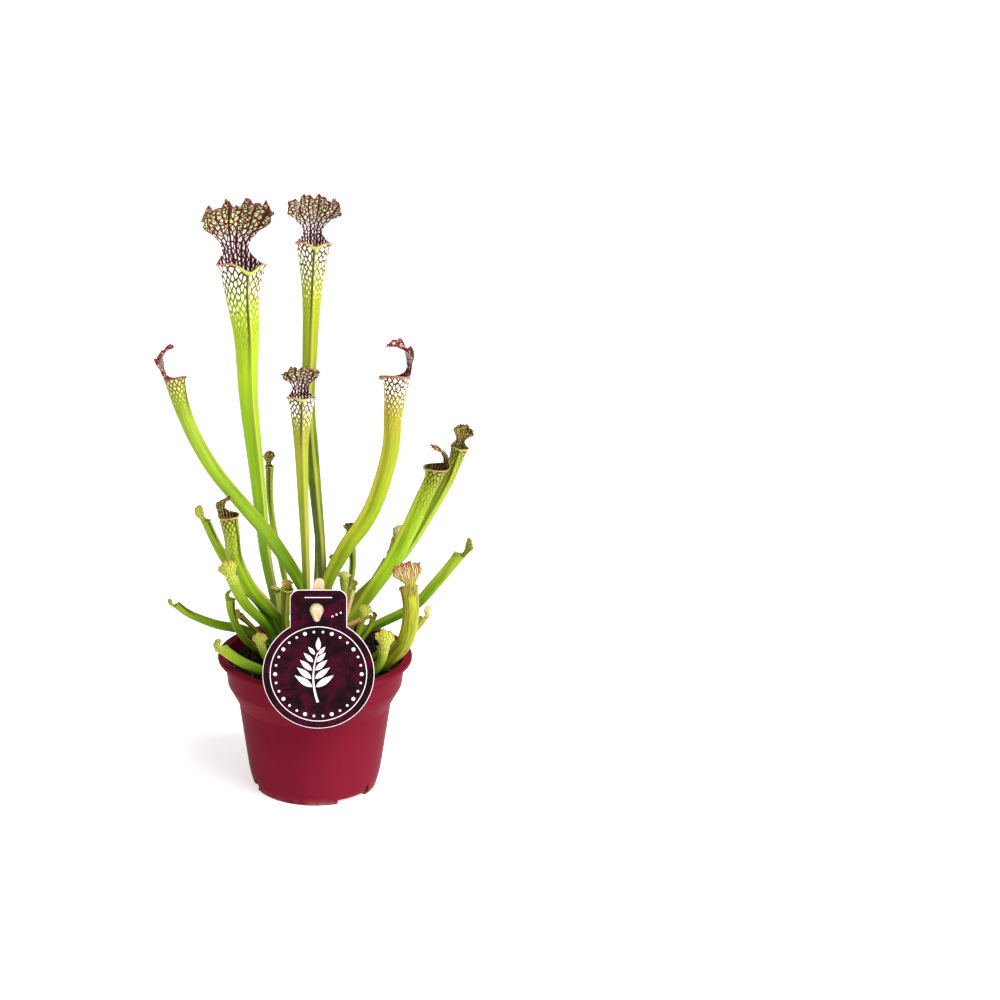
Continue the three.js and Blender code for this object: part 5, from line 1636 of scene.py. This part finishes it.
# %% [markdown]
# ## Card and print
# The card is plain stock with a trace of fibre. Its printed ground is a dark plum with cloudy patches under a
# fine grain, and the light pattern is the colour of the bare card.

# %% Card finishes
def paper(name, roughness, fibre_scale, detail, dark, light):
    """Plain stock whose fibres vary its colour: the finish and the fibre pattern."""
    finish = Finish(name, roughness)
    fibre = finish.noise(finish.place(), fibre_scale, detail)
    finish.feed(Base_Color=finish.mix(finish.step(fibre, 0.3, 0.7), dark, light))
    return finish, fibre


def card_stock():
    finish, fibre = paper("card", 0.55, 1500.0, 3.0, "#e6e2e2", "#f4f1f0")
    finish.bump(fibre, 0.02, 0.3)
    return finish.material


def printed_ground():
    finish = Finish("printed ground", 0.5, Specular_IOR_Level=0.04)
    clouds = finish.noise(finish.place(), 95.0, 3.0, 0.55, Distortion=0.6)
    grain = finish.noise(finish.place(), 900.0, 3.0, 0.7)
    colour = finish.mix(finish.step(clouds, 0.38, 0.7), "#160a0e", "#4c0826")
    finish.feed(Base_Color=finish.mix(finish.step(grain, 0.42, 0.62, 0.0, 0.7), colour, "#14070b"))
    finish.bump(grain, 0.01, 0.2)
    return finish.material


def light_print():
    return paper("light print", 0.45, 1200.0, 2.0, "#e9e4e4", "#f7f4f4")[0].material


# %% Label
card_loops = [label_outline(), drop(0.35)]
card = flat_shape("label_card", card_loops, LABEL_THICKNESS, 0.0, LABEL_PLACE, card_stock(), edge=0.12)
finished(card, "label", "label")
ground_loops = [label_outline(0.4), drop(0.55)]
ground = flat_shape("label_ground", ground_loops, 0.06, 0.04, LABEL_PLACE, printed_ground())
finished(ground, "label")
print("label:", [round(v, 4) for v in card.dimensions])


# %% [markdown]
# ## Light pattern
# The print on a real label is thin ink. Here it is a sprig of leaves in a ring of dots, each shape a flat
# solid a few hundredths of a millimetre thick, because a visible shape comes from geometry. All of them are
# joined into one piece.

# %% Light pattern
STALK_BEND = 0.012
RING_RADIUS = 28.6
DOT_RING = 25.4


def leaflet(x, y, turn_degrees, length, width, steps=14):
    """Pointed oval that starts at x, y."""
    t = np.linspace(0, 1, steps)
    side = width * np.sin(math.pi * t**0.8) / 2
    line = np.concatenate([np.stack([t * length, side], 1), np.stack([t * length, -side], 1)[-2:0:-1]])
    c, s = math.cos(math.radians(turn_degrees)), math.sin(math.radians(turn_degrees))
    return [(x + c * u - s * v, y + s * u + c * v) for u, v in line]


def band(points, widths):
    """Thin tapering stroke along points."""
    line = np.array(points, float)
    along = unit(np.gradient(line, axis=0))
    side = np.stack([-along[:, 1], along[:, 0]], 1) * np.array(widths)[:, None] / 2
    return [tuple(p) for p in np.concatenate([line + side, (line - side)[::-1]])]


def dot(x, y, radius):
    return arc(x, y, radius, 0, 345, 15)


def sprig():
    """A plain sprig: a bent stalk with leaflets in pairs and one at the tip."""
    height = np.linspace(-17, 13, 16)
    stalk = np.stack([STALK_BEND * (height + 2) ** 2 - 3.0, height], 1)
    shapes = [band(stalk, np.linspace(1.5, 0.6, 16))]
    for k, place in enumerate((-8.5, -3.5, 1.5, 6.5, 11.0)):
        x = STALK_BEND * (place + 2) ** 2 - 3.0
        length, width = 12.5 - 1.6 * k, 3.8 - 0.35 * k
        for side, turn in ((1, 34 + 4 * k), (-1, 146 - 4 * k)):
            shapes.append(leaflet(x + 1.1 * side, place + 0.8, turn, length, width))
    shapes.append(leaflet(stalk[-1][0] + 0.1, 14.2, 88, 8.0, 3.0))
    return shapes


PATTERN = [[shape] for shape in sprig()]
PATTERN.append([arc(0, 0, radius, 0, 359, 120) for radius in (RING_RADIUS, RING_RADIUS - 0.5)])
for degrees in range(0, 360, 12):
    a = math.radians(degrees)
    spot = dot(DOT_RING * math.cos(a), DOT_RING * math.sin(a), 0.75 if degrees % 36 else 1.15)
    PATTERN.append([spot])
PATTERN.append([[(-8, 46.1), (8, 46.1), (8, 45.6), (-8, 45.6)]])
PATTERN.extend([dot(8.2 + 2.4 * k, 34.6 + 1.1 * k, 0.6)] for k in range(3))
join = bmesh.new()
for loops in PATTERN:
    stroke = flat_shape("stroke", loops, 0.04, 0.075, LABEL_PLACE, None)
    join.from_mesh(stroke.data)
    bpy.data.objects.remove(stroke)
mesh = bpy.data.meshes.new("label_pattern")
join.to_mesh(mesh)
join.free()
pattern = new_object("label_pattern", mesh, light_print())
finished(pattern, "label")
print("pattern:", len(PATTERN), "shapes")

# %% [markdown]
# ## Stick and peg
# A flat strip of birch holds the label, with its round head above the tab. A drop-shaped peg comes forward
# through the hole. Birch is pale, with fine darker lines along the strip and a few brown flecks. Both pieces
# are filled curves like the card, with a small bevel.

# %% Wood finish
def birch_wood():
    finish = Finish("birch", 0.6, Specular_IOR_Level=0.35)
    grain = finish.noise(finish.place(9.0, 9.0, 0.7), 210.0, 4.0, 0.6)
    flecks = finish.noise(finish.place(6.0, 6.0, 1.2), 420.0)
    colour = finish.mix(finish.step(grain, 0.32, 0.68), "#c99a68", "#efd9b4")
    finish.feed(Base_Color=finish.mix(finish.step(flecks, 0.6, 0.72, 0.0, 0.5), colour, "#a9774a"))
    finish.bump(grain, 0.08, 0.5)
    return finish.material


BIRCH = birch_wood()

# %% Stick and peg
STICK_HALF = 3.1
STICK_THICKNESS = 2
STICK_TOP = 57
STICK_BOTTOM = -44
STICK_LEAN = -6
PEG_LENGTH = 6
strip = [
    (-STICK_HALF + 1, STICK_BOTTOM), (STICK_HALF - 1, STICK_BOTTOM), (STICK_HALF, STICK_BOTTOM + 4),
    *arc(0, STICK_TOP - STICK_HALF, STICK_HALF, 0, 180, 24), (-STICK_HALF, STICK_BOTTOM + 4),
]
behind = Matrix.Translation((0.3, TAB_TOP, -LABEL_THICKNESS - 0.35))
upright = Matrix.Rotation(math.radians(LABEL_LEAN - STICK_LEAN), 4, "X")
stick_place = LABEL_PLACE @ behind @ upright @ Matrix.Translation((0, -TAB_TOP, 0))
stick = flat_shape("stick_birch", [strip], STICK_THICKNESS, 0.0, stick_place, BIRCH, edge=0.35)
finished(stick, "stick", "label_stick")
peg = flat_shape("peg_birch", [drop()], PEG_LENGTH, 1.0, LABEL_PLACE, BIRCH, edge=0.45)
finished(peg, "stick")
print("stick:", [round(v, 4) for v in stick.dimensions])

# %% [markdown]
# ## Floor
# The photograph is a plant shot against white. A wide pale floor that glows a little gives that, under a sky
# that the camera sees as pure white and that lights the plant with less than half of its white.

# %% Floor
FLOOR_HALF = 20000


def studio_floor():
    finish = Finish("studio floor", 0.9, Specular_IOR_Level=0.1, Emission_Strength=0.58)
    faint = finish.step(finish.noise(finish.place(), 3.0), 0.3, 0.7)
    colour = finish.mix(faint, "#f6f6f5", "#fafafa")
    finish.feed(Base_Color=colour, Emission_Color=colour)
    return finish.material


corners = [(x * FLOOR_HALF, y * FLOOR_HALF, 0) for x, y in ((-1, -1), (1, -1), (1, 1), (-1, 1))]
floor = mesh_piece("studio_floor", corners, [[0, 1, 2, 3]], studio_floor())
floor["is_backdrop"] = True
print("floor:", round(floor.dimensions.x), "metres wide")

# %% [markdown]
# ## Lights
# A wide sun, high in front on the right, models the leaves and the pot, and a soft lamp on the same side adds
# a little. Is Camera Ray tells the sky which of its two strengths to show.

# %% Lights
SKY_LIGHT = 0.42
world = bpy.data.worlds.new("white studio")
bpy.context.scene.world = world
world.use_nodes = True
sky = Graph(world.node_tree)
background = world.node_tree.nodes["Background"]
seen = sky.node("ShaderNodeLightPath", output="Is Camera Ray")
sky.give(background, "Color", "#ffffff")
sky.give(background, "Strength", sky.math("MULTIPLY_ADD", seen, 1 - SKY_LIGHT, SKY_LIGHT))


def light(name, kind, aim, energy, **settings):
    """A light that shines along the aim."""
    data = bpy.data.lights.new(name, kind)
    data.energy = energy
    for setting, value in settings.items():
        setattr(data, setting, value)
    made = new_object(name, data)
    made.rotation_euler = Vector(aim).to_track_quat("-Z", "Y").to_euler()
    return made


SUN_AIM = (-0.55, 0.5, -0.9)
SUN_SPREAD = math.radians(45)
SIDE_PLACE = Vector((1.4, -0.7, 0.9))
SIDE_TARGET = Vector((0, 0, 0.15))
light("high sun", "SUN", SUN_AIM, 2.7, angle=SUN_SPREAD)
side = light("side", "AREA", SIDE_TARGET - SIDE_PLACE, 12, shape="DISK", size=0.8, color=(1.0, 0.985, 0.96))
side.location = SIDE_PLACE
print("sky lights at", SKY_LIGHT)

# %% [markdown]
# ## Camera
# It looks down at the pot from a little over a metre away. Its place and its pitch come from the ellipses of
# the pot's rim and foot in the photograph. The lens is shifted sideways, because the plant stands left of the
# picture's middle.

# %% Camera
CAMERA_PLACE = (0, -1.1, 0.514)
CAMERA_PITCH = 16.7
SIDE_SHIFT = 0.185
lens = bpy.data.cameras.new("photograph")
lens.sensor_width = 36
lens.lens = 68.5
lens.shift_x = SIDE_SHIFT
lens.clip_end = 100
lens.dof.use_dof = False
camera = new_object("photograph", lens)
camera.location = CAMERA_PLACE
camera.rotation_euler = (math.radians(90 - CAMERA_PITCH), 0, 0)
scene = bpy.context.scene
scene.camera = camera
scene.view_settings.view_transform = "Standard"
print("camera:", tuple(round(v, 3) for v in camera.location))

# %% [markdown]
# ## Size and finish
# The boxes of the visual model and of the imported solids are printed side by side. The
# visual model must fill the same box as the imported solids.

# %% Finish
visual_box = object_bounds()
boxes = {"cad": [list(map(float, c)) for c in cad_box], "visual": [list(map(float, c)) for c in visual_box]}
for name, box in boxes.items():
    print(name + ":", [[round(v * 1000, 1) for v in corner] for corner in box])
